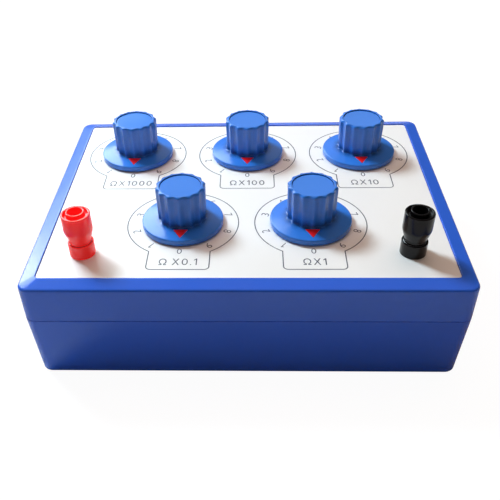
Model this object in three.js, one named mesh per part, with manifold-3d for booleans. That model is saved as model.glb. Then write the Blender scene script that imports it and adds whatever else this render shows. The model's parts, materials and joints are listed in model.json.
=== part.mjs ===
// Decade resistance box: a blue two-shell plastic case with a white face panel, five ten-position
// dials with skirted, fluted knobs, and a red and a black binding post.
// Millimetres, +X to the right, +Y to the back, +Z up. The origin is at the middle of the underside.
// The dials stand at 0, with their pointers to the front, and the binding posts are screwed down.

import * as THREE from 'three';
import { mergeVertices } from 'three/addons/utils/BufferGeometryUtils.js';
import Module from 'manifold-3d';

const wasm = await Module();
wasm.setup();

// Dial grid: three dials in the back row and two in the front row, halfway between them
const DIAL_PITCH = 58.2;
const ROW_DISTANCE = 64;
const DIAL_POSITIONS = 10;

// Case, sized round the dial grid by the margins from the outer dial centres to the case's sides
const SIDE_MARGIN = 36.8;
const BACK_MARGIN = 39;
const FRONT_MARGIN = 47;
const PANEL_HEIGHT = 50;
const SEAM_HEIGHT = 32;
const WALL = 3;
const FLOOR = 3;
const TOP_WALL = 2.5;
const CORNER_RADIUS = 5;
const EDGE_ROUND = 1;
const SEAM_FLARE = 0.1;
const BASE_DRAW_IN = 1.2;

// Rim round the face panel: it starts below the panel, rises to a lip above it and has near-sharp corners
const RIM_WIDTH = 6.7;
const RIM_START_DROP = 1;
const LIP_RISE = 0.5;
const LIP_WIDTH = 0.4;
const PANEL_CORNER = 2;
const PANEL_THICKNESS = 1.5;
const PANEL_FIT = 0.2;

// Lap joint between the shells
const TONGUE_HEIGHT = 1.5;
const TONGUE_WALL = 1.3;
const TONGUE_FIT = 0.25;

// Case screws, from below into the upper shell's bosses
const BOSS_INSET = 11;
const LOWER_BOSS_RADIUS = 4.5;
const UPPER_BOSS_RADIUS = 4;
const BOSS_SPLIT_DROP = 6;
const COUNTERBORE_DEPTH = 6;
const SCREW_HEAD_RADIUS = 2.75;
const SCREW_HEAD_HEIGHT = 2.25;
const SCREW_RADIUS = 1.45;
const SCREW_GRIP_LENGTH = 8;
const SCREW_SLOT_WIDTH = 0.9;
const SCREW_SLOT_DEPTH = 1.2;
const SCREW_FIT = 0.15;
const HEAD_FIT = 0.4;

// Knob: a wide skirt with a fluted grip, measured from the panel's face
const SKIRT_RADIUS = 18.5;
const SKIRT_CLEARANCE = 0.5;
const SKIRT_EDGE_HEIGHT = 3.1;
const SKIRT_EDGE_ROUND = 0.4;
const SKIRT_CENTRE_HEIGHT = 4.4;
const SKIRT_HOLLOW_RADIUS = 15.5;
const SKIRT_HOLLOW_HEIGHT = 2.5;
const GRIP_TOP_RADIUS = 11.25;
const GRIP_BASE_RADIUS = 10.9;
const FLUTE_COUNT = 14;
const FLUTE_DEPTH = 0.9;
const GRIP_EDGE_ROUND = 0.4;
const KNOB_HEIGHT = 20.25;
const KNOB_TOP_WALL = 2.5;
const TOP_RING_RADIUS = 10;
const TOP_RING_PROUD = 0.5;
const CAP_RADIUS = 9.1;
const CAP_THICKNESS = 1.25;
const CAP_INSET = 0.5;
const CAP_EDGE_ROUND = 0.25;
const CAP_FIT = 0.1;

// Pointer: a red wedge let into the skirt in front of the grip
const POINTER_HALF_WIDTH = 3.2;
const POINTER_BASE_RADIUS = 11.4;
const POINTER_TIP_RADIUS = 16.4;
const POINTER_FLOOR = 3;
const POINTER_PROUD = 0.15;
const POINTER_FIT = 0.1;

// Shaft, with its bearing in the switch's threaded bush, and the grub screw that clamps the knob to it
const SHAFT_RADIUS = 3;
const SHAFT_BOTTOM_DROP = 12.75;
const SHAFT_FIT = 0.1;
const SHAFT_FLANGE_RADIUS = 4.5;
const SHAFT_FLANGE_THICKNESS = 1.25;
const SHAFT_FLAT_DEPTH = 0.5;
const SHAFT_CHAMFER = 0.4;
const BORE_SPARE_LENGTH = 0.25;
const GRUB_HEIGHT = 9;
const GRUB_RADIUS = 1.5;
const GRUB_LENGTH = 6.75;
const GRUB_FIT = 0.1;
const GRUB_KEY_RADIUS = 0.8;
const GRUB_KEY_DEPTH = 1.5;

// Rotary switch: an upturned cup under the case's top wall, its threaded bush and its nut on the panel
const SWITCH_RADIUS = 17;
const SWITCH_WALL = 2;
const SWITCH_ROOF = 2.5;
const SWITCH_HEIGHT = 10;
const BUSH_RADIUS = 4.75;
const BUSH_TOP = 2;
const BUSH_FIT = 0.15;
const NUT_ACROSS_FLATS = 14;
const NUT_THICKNESS = 1.75;
const RUNNING_GAP = 0.2;

// Wiper: a cup on the shaft's end with an arm that runs over the ten contacts printed on the board
const CONTACT_RING_RADIUS = 12;
const WIPER_HUB_RADIUS = 4.75;
const WIPER_HUB_HEIGHT = 3.5;
const WIPER_ARM_WIDTH = 3;
const WIPER_ARM_THICKNESS = 0.75;
const WIPER_TIP_WIDTH = 2;
const CONTACT_GAP = 0.3;

// Resistor board: it closes the switches' cups and carries nine resistors for each dial underneath
const BOARD_THICKNESS = 1.5;
const BOARD_SIDE_SPARE = 2.8;
const BOARD_END_SPARE = 0.5;
const RESISTOR_THICKNESS = 2.5;
const RESISTOR_LENGTH = 6;
const RESISTOR_RING_RADIUS = 13;
const RESISTOR_SINK = 0.2;

// Binding posts, placed from the outer dial column and the front dial row
const POST_OUTWARD = 13;
const POST_FORWARD = 22.3;
const COLLAR_RADIUS = 5.6;
const COLLAR_HEIGHT = 6.4;
const COLLAR_EDGE_ROUND = 0.25;
const COLLAR_RECESS_RADIUS = 5;
const COLLAR_RECESS_DEPTH = 1.2;
const SPIGOT_RADIUS = 3.4;
const SPIGOT_FIT = 0.15;
const STEM_RADIUS = 2;
const STEM_LENGTH = 13;
const STEM_FIT = 0.2;
const STUD_FLANGE_RADIUS = 4.85;
const STUD_FLANGE_THICKNESS = 0.5;
const STUD_RADIUS = 2.9;
const STUD_TOP = 14;
const SOCKET_RADIUS = 2.05;
const SOCKET_DEPTH = 7.5;
const WASHER_RADIUS = 4.8;
const WASHER_THICKNESS = 0.5;
const POST_GAP = 0.1;
const POST_CAP_BORE_RADIUS = 3.15;
const POST_CAP_NECK_RADIUS = 4.4;
const POST_CAP_NECK_LENGTH = 1.2;
const POST_CAP_NECK_FLARE = 0.2;
const POST_CAP_RADIUS = 6.2;
const POST_CAP_TAPER_TOP = 12.3;
const POST_CAP_HEIGHT = 20.4;
const POST_CAP_EDGE_ROUND = 0.3;
const POST_CAP_RIM_RADIUS = 5.2;
const POST_CAP_GROOVE_DEPTH = 1.4;
const POST_CAP_TUBE_RADIUS = 3.9;
const POST_CAP_TUBE_PROUD = 1;
const POST_NUT_ACROSS_FLATS = 9;
const POST_NUT_THICKNESS = 3;
const LEAD_RADIUS = 0.8;
const LEAD_REACH = 9;
const LEAD_SAG = 3.5;
const LEAD_END_GAP = 0.3;

// Overrun of every cutting tool past the face that it opens
const OVERRUN = 1;

// Facets
const CORNER_ARC_STEPS = 2;
const ROUND_STEPS = 3;
const SKIRT_SIDES = 28;
const POST_SIDES = 24;
const SWITCH_SIDES = 18;
const HOLE_SIDES = 16;
const PIN_SIDES = 12;
const GRUB_SIDES = 8;
const LEAD_SIDES = 6;
const LEAD_STEPS = 10;

// Places worked out from the sizes above
const caseHalfWidth = DIAL_PITCH + SIDE_MARGIN;
const caseHalfDepth = (ROW_DISTANCE + BACK_MARGIN + FRONT_MARGIN) / 2;
const backRowY = caseHalfDepth - BACK_MARGIN;
const frontRowY = backRowY - ROW_DISTANCE;
const rimStartHeight = PANEL_HEIGHT - RIM_START_DROP;
const lipHeight = PANEL_HEIGHT + LIP_RISE;
const panelSeatHeight = PANEL_HEIGHT - PANEL_THICKNESS;
const shellCeiling = panelSeatHeight - TOP_WALL;
const mountingDepth = PANEL_THICKNESS + TOP_WALL;
const bossSplitHeight = SEAM_HEIGHT - BOSS_SPLIT_DROP;
const boardDepth = mountingDepth + SWITCH_HEIGHT;
const gripHeight = KNOB_HEIGHT - TOP_RING_PROUD;
const pocketFloor = KNOB_HEIGHT - CAP_INSET - CAP_THICKNESS;
const boreTop = pocketFloor - KNOB_TOP_WALL;
const shaftTop = boreTop - BORE_SPARE_LENGTH;
const postX = DIAL_PITCH + POST_OUTWARD;
const postY = frontRowY - POST_FORWARD;

const decades = [
  { name: 'x1000', pitchShare: -1, y: backRowY },
  { name: 'x100', pitchShare: 0, y: backRowY },
  { name: 'x10', pitchShare: 1, y: backRowY },
  { name: 'x1', pitchShare: 0.5, y: frontRowY },
  { name: 'x0_1', pitchShare: -0.5, y: frontRowY },
];
for (const decade of decades) {
  decade.x = decade.pitchShare * DIAL_PITCH;
}

const posts = [
  { name: 'red', x: -postX, y: postY },
  { name: 'black', x: postX, y: postY },
];

const corners = [
  { name: 'front_left', sideX: -1, sideY: -1 },
  { name: 'front_right', sideX: 1, sideY: -1 },
  { name: 'back_left', sideX: -1, sideY: 1 },
  { name: 'back_right', sideX: 1, sideY: 1 },
];
for (const corner of corners) {
  corner.x = corner.sideX * (caseHalfWidth - BOSS_INSET);
  corner.y = corner.sideY * (caseHalfDepth - BOSS_INSET);
}

// Materials
function finish(color, roughness, metalness) {
  return new THREE.MeshStandardMaterial({ color, roughness, metalness });
}
const casePlastic = finish('#2f55b4', 0.35, 0);
const knobPlastic = finish('#2c5cc4', 0.4, 0);
const panelPrint = finish('#f6f7fa', 0.45, 0);
const pointerRed = finish('#c4161c', 0.5, 0);
const postRed = finish('#e01e24', 0.35, 0);
const postBlack = finish('#17151a', 0.35, 0);
const brass = finish('#c8a350', 0.3, 1);
const nickel = finish('#b9bcc2', 0.28, 1);
const steel = finish('#8d9096', 0.4, 1);
const switchPlastic = finish('#2b2622', 0.6, 0);
const boardGreen = finish('#2f6b45', 0.6, 0);
const leadRed = finish('#b3262a', 0.5, 0);
const leadBlack = finish('#1c1b1e', 0.5, 0);

// Solids and meshes

// Closed solid from a three.js geometry, its shared corners merged and its faces pointing out
function solidOf(geometry) {
  const bare = geometry.clone();
  bare.deleteAttribute('normal');
  bare.deleteAttribute('uv');
  const merged = mergeVertices(bare);
  const index = merged.index.array;
  const kept = [];
  for (let i = 0; i < index.length; i += 3) {
    const [a, b, c] = [index[i], index[i + 1], index[i + 2]];
    if (a !== b && b !== c && c !== a) {
      kept.push(a, b, c);
    }
  }
  const vertProperties = merged.getAttribute('position').array;
  const triVerts = new Uint32Array(kept);
  const solid = new wasm.Manifold(new wasm.Mesh({ numProp: 3, vertProperties, triVerts }));
  if (solid.volume() > 0) {
    return solid;
  }
  const turned = new wasm.Mesh({ numProp: 3, vertProperties, triVerts: triVerts.reverse() });
  return new wasm.Manifold(turned);
}

function meshOf(name, solid, material) {
  const { vertProperties, triVerts } = solid.getMesh();
  const geometry = new THREE.BufferGeometry();
  geometry.setAttribute('position', new THREE.BufferAttribute(vertProperties, 3));
  geometry.setIndex(new THREE.BufferAttribute(triVerts, 1));
  geometry.computeVertexNormals();
  const mesh = new THREE.Mesh(geometry, material);
  mesh.name = name;
  return mesh;
}

// Body of revolution about Z from [radius, height] points, on the axis at both ends
function turned(points, sides) {
  const profile = points.map(([radius, height]) => new THREE.Vector2(radius, height));
  const geometry = new THREE.LatheGeometry(profile, sides);
  geometry.rotateX(Math.PI / 2);
  return solidOf(geometry);
}

// The same round a bore: the profile closes on itself
function turnedRing(points, sides) {
  return turned([...points, points[0]], sides);
}

function cylinder(radius, bottom, top, sides) {
  return turned([[0, bottom], [radius, bottom], [radius, top], [0, top]], sides);
}

function extruded(shape, bottom, top) {
  const geometry = new THREE.ExtrudeGeometry(shape, { depth: top - bottom, bevelEnabled: false });
  geometry.translate(0, 0, bottom);
  return solidOf(geometry);
}

function block(sizeX, sizeY, bottom, top) {
  const geometry = new THREE.BoxGeometry(sizeX, sizeY, top - bottom);
  geometry.translate(0, 0, (top + bottom) / 2);
  return solidOf(geometry);
}

// Outline of radius 1 stretched over levels, each with its height and its sizes: place gives x and y
function stacked(outline, levels, curveSegments, place) {
  const last = levels.length - 1;
  const settings = { depth: 1, steps: last, bevelEnabled: false, curveSegments };
  const geometry = new THREE.ExtrudeGeometry(outline, settings);
  const position = geometry.getAttribute('position');
  for (let i = 0; i < position.count; i += 1) {
    const level = levels[Math.round(position.getZ(i) * last)];
    const [x, y] = place(position.getX(i), position.getY(i), level);
    position.setXYZ(i, x, y, level.z);
  }
  return solidOf(geometry);
}

// Box with rounded upright edges whose half sizes and corner radius change with the height
function roundedBox(levels) {
  const outline = new THREE.Shape();
  outline.absarc(1, 1, 1, 0, Math.PI / 2);
  outline.absarc(-1, 1, 1, Math.PI / 2, Math.PI);
  outline.absarc(-1, -1, 1, Math.PI, Math.PI * 1.5);
  outline.absarc(1, -1, 1, Math.PI * 1.5, Math.PI * 2);
  return stacked(outline, levels, CORNER_ARC_STEPS, (x, y, level) => {
    const sideX = Math.sign(x);
    const sideY = Math.sign(y);
    const centreX = sideX * (level.halfX - level.radius);
    const centreY = sideY * (level.halfY - level.radius);
    return [centreX + (x - sideX) * level.radius, centreY + (y - sideY) * level.radius];
  });
}

// Level of the case at a height, drawn in from its outer size by an inset
function caseLevel(z, inset, radius) {
  return { z, halfX: caseHalfWidth - inset, halfY: caseHalfDepth - inset, radius };
}

function hexagonNut(acrossFlats, boreRadius, bottom, top) {
  const shape = new THREE.Shape();
  const corner = acrossFlats / Math.sqrt(3);
  for (let i = 0; i < 6; i += 1) {
    const angle = (i * Math.PI) / 3;
    const point = [corner * Math.cos(angle), corner * Math.sin(angle)];
    if (i === 0) {
      shape.moveTo(...point);
    } else {
      shape.lineTo(...point);
    }
  }
  shape.closePath();
  const nut = extruded(shape, bottom, top);
  return nut.subtract(cylinder(boreRadius, bottom - OVERRUN, top + OVERRUN, HOLE_SIDES));
}

// Case

function upperShell() {
  const levels = [
    caseLevel(SEAM_HEIGHT, -SEAM_FLARE, CORNER_RADIUS + SEAM_FLARE),
    caseLevel(rimStartHeight - EDGE_ROUND, 0, CORNER_RADIUS),
  ];
  for (let i = 1; i <= ROUND_STEPS; i += 1) {
    const angle = (i / ROUND_STEPS) * (Math.PI / 2);
    const inset = EDGE_ROUND * (1 - Math.cos(angle));
    const height = rimStartHeight - EDGE_ROUND * (1 - Math.sin(angle));
    levels.push(caseLevel(height, inset, CORNER_RADIUS - inset));
  }
  levels.push(caseLevel(lipHeight, RIM_WIDTH - LIP_WIDTH, PANEL_CORNER + LIP_WIDTH));
  let shell = roundedBox(levels);

  const cavityRadius = CORNER_RADIUS - WALL;
  const cavity = roundedBox([
    caseLevel(SEAM_HEIGHT - OVERRUN, WALL, cavityRadius),
    caseLevel(shellCeiling, WALL, cavityRadius),
  ]);
  const rebateInset = WALL - TONGUE_WALL - TONGUE_FIT - SEAM_FLARE;
  const rebate = roundedBox([
    caseLevel(SEAM_HEIGHT - OVERRUN, rebateInset, CORNER_RADIUS - rebateInset),
    caseLevel(SEAM_HEIGHT + TONGUE_HEIGHT + TONGUE_FIT, rebateInset, CORNER_RADIUS - rebateInset),
  ]);
  const recess = roundedBox([
    caseLevel(panelSeatHeight, RIM_WIDTH, PANEL_CORNER),
    caseLevel(lipHeight + OVERRUN, RIM_WIDTH, PANEL_CORNER),
  ]);
  shell = shell.subtract(cavity).subtract(rebate).subtract(recess);

  const pilotRadius = SCREW_RADIUS + SCREW_FIT;
  const pilotTop = bossSplitHeight + SCREW_GRIP_LENGTH + OVERRUN;
  for (const { x, y } of corners) {
    const boss = cylinder(UPPER_BOSS_RADIUS, bossSplitHeight, shellCeiling + OVERRUN, PIN_SIDES);
    const pilot = cylinder(pilotRadius, bossSplitHeight - OVERRUN, pilotTop, PIN_SIDES);
    shell = shell.add(boss.translate(x, y, 0)).subtract(pilot.translate(x, y, 0));
  }
  for (const { x, y } of decades) {
    const hole = cylinder(BUSH_RADIUS + BUSH_FIT, shellCeiling - OVERRUN, lipHeight, HOLE_SIDES);
    shell = shell.subtract(hole.translate(x, y, 0));
  }
  for (const { x, y } of posts) {
    const hole = cylinder(SPIGOT_RADIUS + SPIGOT_FIT, shellCeiling - OVERRUN, lipHeight, HOLE_SIDES);
    shell = shell.subtract(hole.translate(x, y, 0));
  }
  return shell;
}

function lowerShell() {
  let shell = roundedBox([
    caseLevel(0, BASE_DRAW_IN + EDGE_ROUND / 2, CORNER_RADIUS - EDGE_ROUND / 2),
    caseLevel(EDGE_ROUND / 2, BASE_DRAW_IN, CORNER_RADIUS),
    caseLevel(SEAM_HEIGHT, -SEAM_FLARE, CORNER_RADIUS + SEAM_FLARE),
  ]);
  const tongueInset = WALL - TONGUE_WALL - SEAM_FLARE;
  const tongue = roundedBox([
    caseLevel(SEAM_HEIGHT - OVERRUN, tongueInset, CORNER_RADIUS - tongueInset),
    caseLevel(SEAM_HEIGHT + TONGUE_HEIGHT, tongueInset, CORNER_RADIUS - tongueInset),
  ]);
  const cavityRadius = CORNER_RADIUS - WALL;
  const cavity = roundedBox([
    caseLevel(FLOOR, BASE_DRAW_IN + WALL, cavityRadius),
    caseLevel(SEAM_HEIGHT, WALL - SEAM_FLARE, cavityRadius),
    caseLevel(SEAM_HEIGHT + TONGUE_HEIGHT + OVERRUN, WALL - SEAM_FLARE, cavityRadius),
  ]);
  shell = shell.add(tongue).subtract(cavity);
  for (const { x, y } of corners) {
    const boss = cylinder(LOWER_BOSS_RADIUS, FLOOR - OVERRUN, bossSplitHeight, HOLE_SIDES);
    const hole = cylinder(SCREW_RADIUS + SCREW_FIT, -OVERRUN, bossSplitHeight + OVERRUN, PIN_SIDES);
    const counterbore = cylinder(SCREW_HEAD_RADIUS + HEAD_FIT, -OVERRUN, COUNTERBORE_DEPTH, HOLE_SIDES);
    shell = shell.add(boss.translate(x, y, 0));
    shell = shell.subtract(hole.translate(x, y, 0)).subtract(counterbore.translate(x, y, 0));
  }
  return shell;
}

function facePanel() {
  const inset = RIM_WIDTH + PANEL_FIT;
  let panel = roundedBox([
    caseLevel(panelSeatHeight, inset, PANEL_CORNER - PANEL_FIT),
    caseLevel(PANEL_HEIGHT, inset, PANEL_CORNER - PANEL_FIT),
  ]);
  const bottom = panelSeatHeight - OVERRUN;
  const top = PANEL_HEIGHT + OVERRUN;
  for (const { x, y } of decades) {
    panel = panel.subtract(cylinder(BUSH_RADIUS + BUSH_FIT, bottom, top, HOLE_SIDES).translate(x, y, 0));
  }
  for (const { x, y } of posts) {
    panel = panel.subtract(cylinder(SPIGOT_RADIUS + SPIGOT_FIT, bottom, top, HOLE_SIDES).translate(x, y, 0));
  }
  return panel;
}

function caseScrew() {
  const seat = COUNTERBORE_DEPTH;
  const headBottom = seat - SCREW_HEAD_HEIGHT;
  const tip = bossSplitHeight + SCREW_GRIP_LENGTH;
  const screw = turned([
    [0, headBottom],
    [SCREW_HEAD_RADIUS, headBottom],
    [SCREW_HEAD_RADIUS, seat],
    [SCREW_RADIUS, seat],
    [SCREW_RADIUS, tip - SCREW_RADIUS],
    [0, tip],
  ], PIN_SIDES);
  const slotLengthShare = 1.2;
  const slotLength = SCREW_HEAD_RADIUS * slotLengthShare;
  const slotTop = headBottom + SCREW_SLOT_DEPTH;
  const along = block(slotLength, SCREW_SLOT_WIDTH, headBottom - OVERRUN, slotTop);
  const across = block(SCREW_SLOT_WIDTH, slotLength, headBottom - OVERRUN, slotTop);
  return screw.subtract(along).subtract(across);
}

// Dial: each function's heights are measured from the panel's face

// Height of the skirt's cone at a radius
function skirtHeight(radius) {
  const slope = (SKIRT_CENTRE_HEIGHT - SKIRT_EDGE_HEIGHT) / (SKIRT_RADIUS - SKIRT_EDGE_ROUND - GRIP_BASE_RADIUS);
  return SKIRT_EDGE_HEIGHT + slope * (SKIRT_RADIUS - SKIRT_EDGE_ROUND - radius);
}

function pointerOutline(clearance) {
  const shape = new THREE.Shape();
  shape.moveTo(-POINTER_HALF_WIDTH - clearance, -POINTER_BASE_RADIUS + clearance);
  shape.lineTo(0, -POINTER_TIP_RADIUS - clearance);
  shape.lineTo(POINTER_HALF_WIDTH + clearance, -POINTER_BASE_RADIUS + clearance);
  shape.closePath();
  return shape;
}

function flutedGrip() {
  const outline = new THREE.Shape();
  const depthShares = [0, 0.6, 1, 0.6];
  const steps = FLUTE_COUNT * depthShares.length;
  for (let i = 0; i < steps; i += 1) {
    const angle = (i / steps) * Math.PI * 2 - Math.PI / 2;
    const radius = 1 - (FLUTE_DEPTH / GRIP_TOP_RADIUS) * depthShares[i % depthShares.length];
    const point = [radius * Math.cos(angle), radius * Math.sin(angle)];
    if (i === 0) {
      outline.moveTo(...point);
    } else {
      outline.lineTo(...point);
    }
  }
  outline.closePath();
  const levels = [
    { z: SKIRT_HOLLOW_HEIGHT + SKIRT_CLEARANCE, radius: GRIP_BASE_RADIUS },
    { z: gripHeight - GRIP_EDGE_ROUND, radius: GRIP_TOP_RADIUS },
    { z: gripHeight, radius: GRIP_TOP_RADIUS - GRIP_EDGE_ROUND },
  ];
  return stacked(outline, levels, 1, (x, y, level) => [x * level.radius, y * level.radius]);
}

function knob() {
  const boreRadius = SHAFT_RADIUS + SHAFT_FIT;
  const pocketRadius = CAP_RADIUS + CAP_FIT;
  const body = turned([
    [0, boreTop],
    [boreRadius, boreTop],
    [boreRadius, SKIRT_HOLLOW_HEIGHT],
    [SKIRT_HOLLOW_RADIUS, SKIRT_HOLLOW_HEIGHT],
    [SKIRT_HOLLOW_RADIUS, SKIRT_CLEARANCE],
    [SKIRT_RADIUS, SKIRT_CLEARANCE],
    [SKIRT_RADIUS, SKIRT_EDGE_HEIGHT - SKIRT_EDGE_ROUND],
    [SKIRT_RADIUS - SKIRT_EDGE_ROUND, SKIRT_EDGE_HEIGHT],
    [TOP_RING_RADIUS, skirtHeight(TOP_RING_RADIUS)],
    [TOP_RING_RADIUS, KNOB_HEIGHT],
    [pocketRadius, KNOB_HEIGHT],
    [pocketRadius, pocketFloor],
    [0, pocketFloor],
  ], SKIRT_SIDES);
  const pocketForPointer = extruded(pointerOutline(POINTER_FIT), POINTER_FLOOR, SKIRT_CENTRE_HEIGHT + OVERRUN);
  const grubHoleRadius = GRUB_RADIUS + GRUB_FIT;
  const grubHole = alongY(grubHoleRadius, 0, GRIP_TOP_RADIUS + OVERRUN, GRUB_HEIGHT);
  const whole = body.add(flutedGrip().subtract(cylinder(pocketRadius, 0, KNOB_HEIGHT, SKIRT_SIDES)));
  return whole.subtract(pocketForPointer).subtract(grubHole);
}

// Cylinder along Y at a height
function alongY(radius, near, far, height) {
  const geometry = new THREE.LatheGeometry([
    new THREE.Vector2(0, near),
    new THREE.Vector2(radius, near),
    new THREE.Vector2(radius, far),
    new THREE.Vector2(0, far),
  ], GRUB_SIDES);
  geometry.translate(0, 0, height);
  return solidOf(geometry);
}

function knobCap() {
  const top = KNOB_HEIGHT - CAP_INSET;
  return turned([
    [0, top - CAP_THICKNESS],
    [CAP_RADIUS, top - CAP_THICKNESS],
    [CAP_RADIUS, top - CAP_EDGE_ROUND],
    [CAP_RADIUS - CAP_EDGE_ROUND, top],
    [0, top],
  ], SKIRT_SIDES);
}

function pointer() {
  const wedge = extruded(pointerOutline(0), POINTER_FLOOR, SKIRT_CENTRE_HEIGHT + OVERRUN);
  const cone = turned([
    [0, 0],
    [SKIRT_RADIUS, 0],
    [SKIRT_RADIUS, skirtHeight(SKIRT_RADIUS) + POINTER_PROUD],
    [0, skirtHeight(0) + POINTER_PROUD],
  ], SKIRT_SIDES);
  return wedge.intersect(cone);
}

function grubScrew() {
  const near = SHAFT_RADIUS - SHAFT_FLAT_DEPTH + GRUB_FIT;
  const far = near + GRUB_LENGTH;
  const key = alongY(GRUB_KEY_RADIUS, far - GRUB_KEY_DEPTH, far + OVERRUN, GRUB_HEIGHT);
  return alongY(GRUB_RADIUS, near, far, GRUB_HEIGHT).subtract(key);
}

function shaft() {
  const flangeTop = -mountingDepth - SWITCH_ROOF - RUNNING_GAP;
  const flangeBottom = flangeTop - SHAFT_FLANGE_THICKNESS;
  const spindle = turned([
    [0, -SHAFT_BOTTOM_DROP],
    [SHAFT_RADIUS, -SHAFT_BOTTOM_DROP],
    [SHAFT_RADIUS, flangeBottom],
    [SHAFT_FLANGE_RADIUS, flangeBottom],
    [SHAFT_FLANGE_RADIUS, flangeTop],
    [SHAFT_RADIUS, flangeTop],
    [SHAFT_RADIUS, shaftTop - SHAFT_CHAMFER],
    [SHAFT_RADIUS - SHAFT_CHAMFER, shaftTop],
    [0, shaftTop],
  ], PIN_SIDES);
  const flatBottom = GRUB_HEIGHT - GRUB_RADIUS * 2;
  const flat = block(SHAFT_RADIUS * 2, SHAFT_RADIUS, flatBottom, shaftTop + OVERRUN);
  return spindle.subtract(flat.translate(0, SHAFT_RADIUS * 1.5 - SHAFT_FLAT_DEPTH, 0));
}

function wiper() {
  const hubTop = -mountingDepth - SWITCH_ROOF - RUNNING_GAP * 2 - SHAFT_FLANGE_THICKNESS;
  const bottom = -boardDepth + CONTACT_GAP;
  const armBottom = hubTop - WIPER_HUB_HEIGHT;
  const armTop = armBottom + WIPER_ARM_THICKNESS;
  const armLength = CONTACT_RING_RADIUS + WIPER_TIP_WIDTH / 2;
  const hub = cylinder(WIPER_HUB_RADIUS, bottom, hubTop, PIN_SIDES);
  const arm = block(WIPER_ARM_WIDTH, armLength, armBottom, armTop);
  const tip = block(WIPER_TIP_WIDTH, WIPER_TIP_WIDTH, bottom, armTop);
  const shaftEnd = -SHAFT_BOTTOM_DROP - RUNNING_GAP;
  const bore = cylinder(SHAFT_RADIUS + SHAFT_FIT, shaftEnd, hubTop + OVERRUN, HOLE_SIDES);
  return hub
    .add(arm.translate(0, -armLength / 2, 0))
    .add(tip.translate(0, -CONTACT_RING_RADIUS, 0))
    .subtract(bore);
}

function bushNut() {
  return hexagonNut(NUT_ACROSS_FLATS, BUSH_RADIUS + BUSH_FIT, 0, NUT_THICKNESS);
}

function switchBody() {
  const boreRadius = SHAFT_RADIUS + SHAFT_FIT;
  const roofTop = -mountingDepth;
  const roofBottom = roofTop - SWITCH_ROOF;
  return turnedRing([
    [boreRadius, BUSH_TOP],
    [boreRadius, roofBottom],
    [SWITCH_RADIUS - SWITCH_WALL, roofBottom],
    [SWITCH_RADIUS - SWITCH_WALL, -boardDepth],
    [SWITCH_RADIUS, -boardDepth],
    [SWITCH_RADIUS, roofTop],
    [BUSH_RADIUS, roofTop],
    [BUSH_RADIUS, BUSH_TOP],
  ], SWITCH_SIDES);
}

// Resistor board, in the case's own heights
function resistorBoard() {
  const top = PANEL_HEIGHT - boardDepth;
  const bottom = top - BOARD_THICKNESS;
  const sizeX = (DIAL_PITCH + SWITCH_RADIUS + BOARD_SIDE_SPARE) * 2;
  const sizeY = ROW_DISTANCE + (SWITCH_RADIUS + BOARD_END_SPARE) * 2;
  let board = block(sizeX, sizeY, bottom, top).translate(0, (backRowY + frontRowY) / 2, 0);
  const resistor = block(RESISTOR_LENGTH, RESISTOR_THICKNESS, bottom - RESISTOR_THICKNESS, bottom + RESISTOR_SINK);
  const step = 360 / DIAL_POSITIONS;
  for (const { x, y } of decades) {
    for (let i = 1; i < DIAL_POSITIONS; i += 1) {
      const placed = resistor.translate(0, -RESISTOR_RING_RADIUS, 0).rotate([0, 0, (i - 0.5) * step]);
      board = board.add(placed.translate(x, y, 0));
    }
  }
  return board;
}

// Binding post: each function's heights are measured from the panel's face

const collarSeat = COLLAR_HEIGHT - COLLAR_RECESS_DEPTH;
const studFlangeTop = collarSeat + STUD_FLANGE_THICKNESS;
const washerBottom = studFlangeTop + POST_GAP;
const washerTop = washerBottom + WASHER_THICKNESS;

function postCollar() {
  const bore = STEM_RADIUS + STEM_FIT;
  return turnedRing([
    [bore, -mountingDepth],
    [SPIGOT_RADIUS, -mountingDepth],
    [SPIGOT_RADIUS, 0],
    [COLLAR_RADIUS, 0],
    [COLLAR_RADIUS, COLLAR_HEIGHT - COLLAR_EDGE_ROUND],
    [COLLAR_RADIUS - COLLAR_EDGE_ROUND, COLLAR_HEIGHT],
    [COLLAR_RECESS_RADIUS, COLLAR_HEIGHT],
    [COLLAR_RECESS_RADIUS, collarSeat],
    [bore, collarSeat],
  ], POST_SIDES);
}

function postStud() {
  return turned([
    [0, -STEM_LENGTH],
    [STEM_RADIUS, -STEM_LENGTH],
    [STEM_RADIUS, collarSeat],
    [STUD_FLANGE_RADIUS, collarSeat],
    [STUD_FLANGE_RADIUS, studFlangeTop],
    [STUD_RADIUS, studFlangeTop],
    [STUD_RADIUS, STUD_TOP],
    [SOCKET_RADIUS, STUD_TOP],
    [SOCKET_RADIUS, STUD_TOP - SOCKET_DEPTH],
    [0, STUD_TOP - SOCKET_DEPTH],
  ], HOLE_SIDES);
}

function clampWasher() {
  return turnedRing([
    [POST_CAP_BORE_RADIUS, washerBottom],
    [WASHER_RADIUS, washerBottom],
    [WASHER_RADIUS, washerTop],
    [POST_CAP_BORE_RADIUS, washerTop],
  ], POST_SIDES);
}

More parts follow.
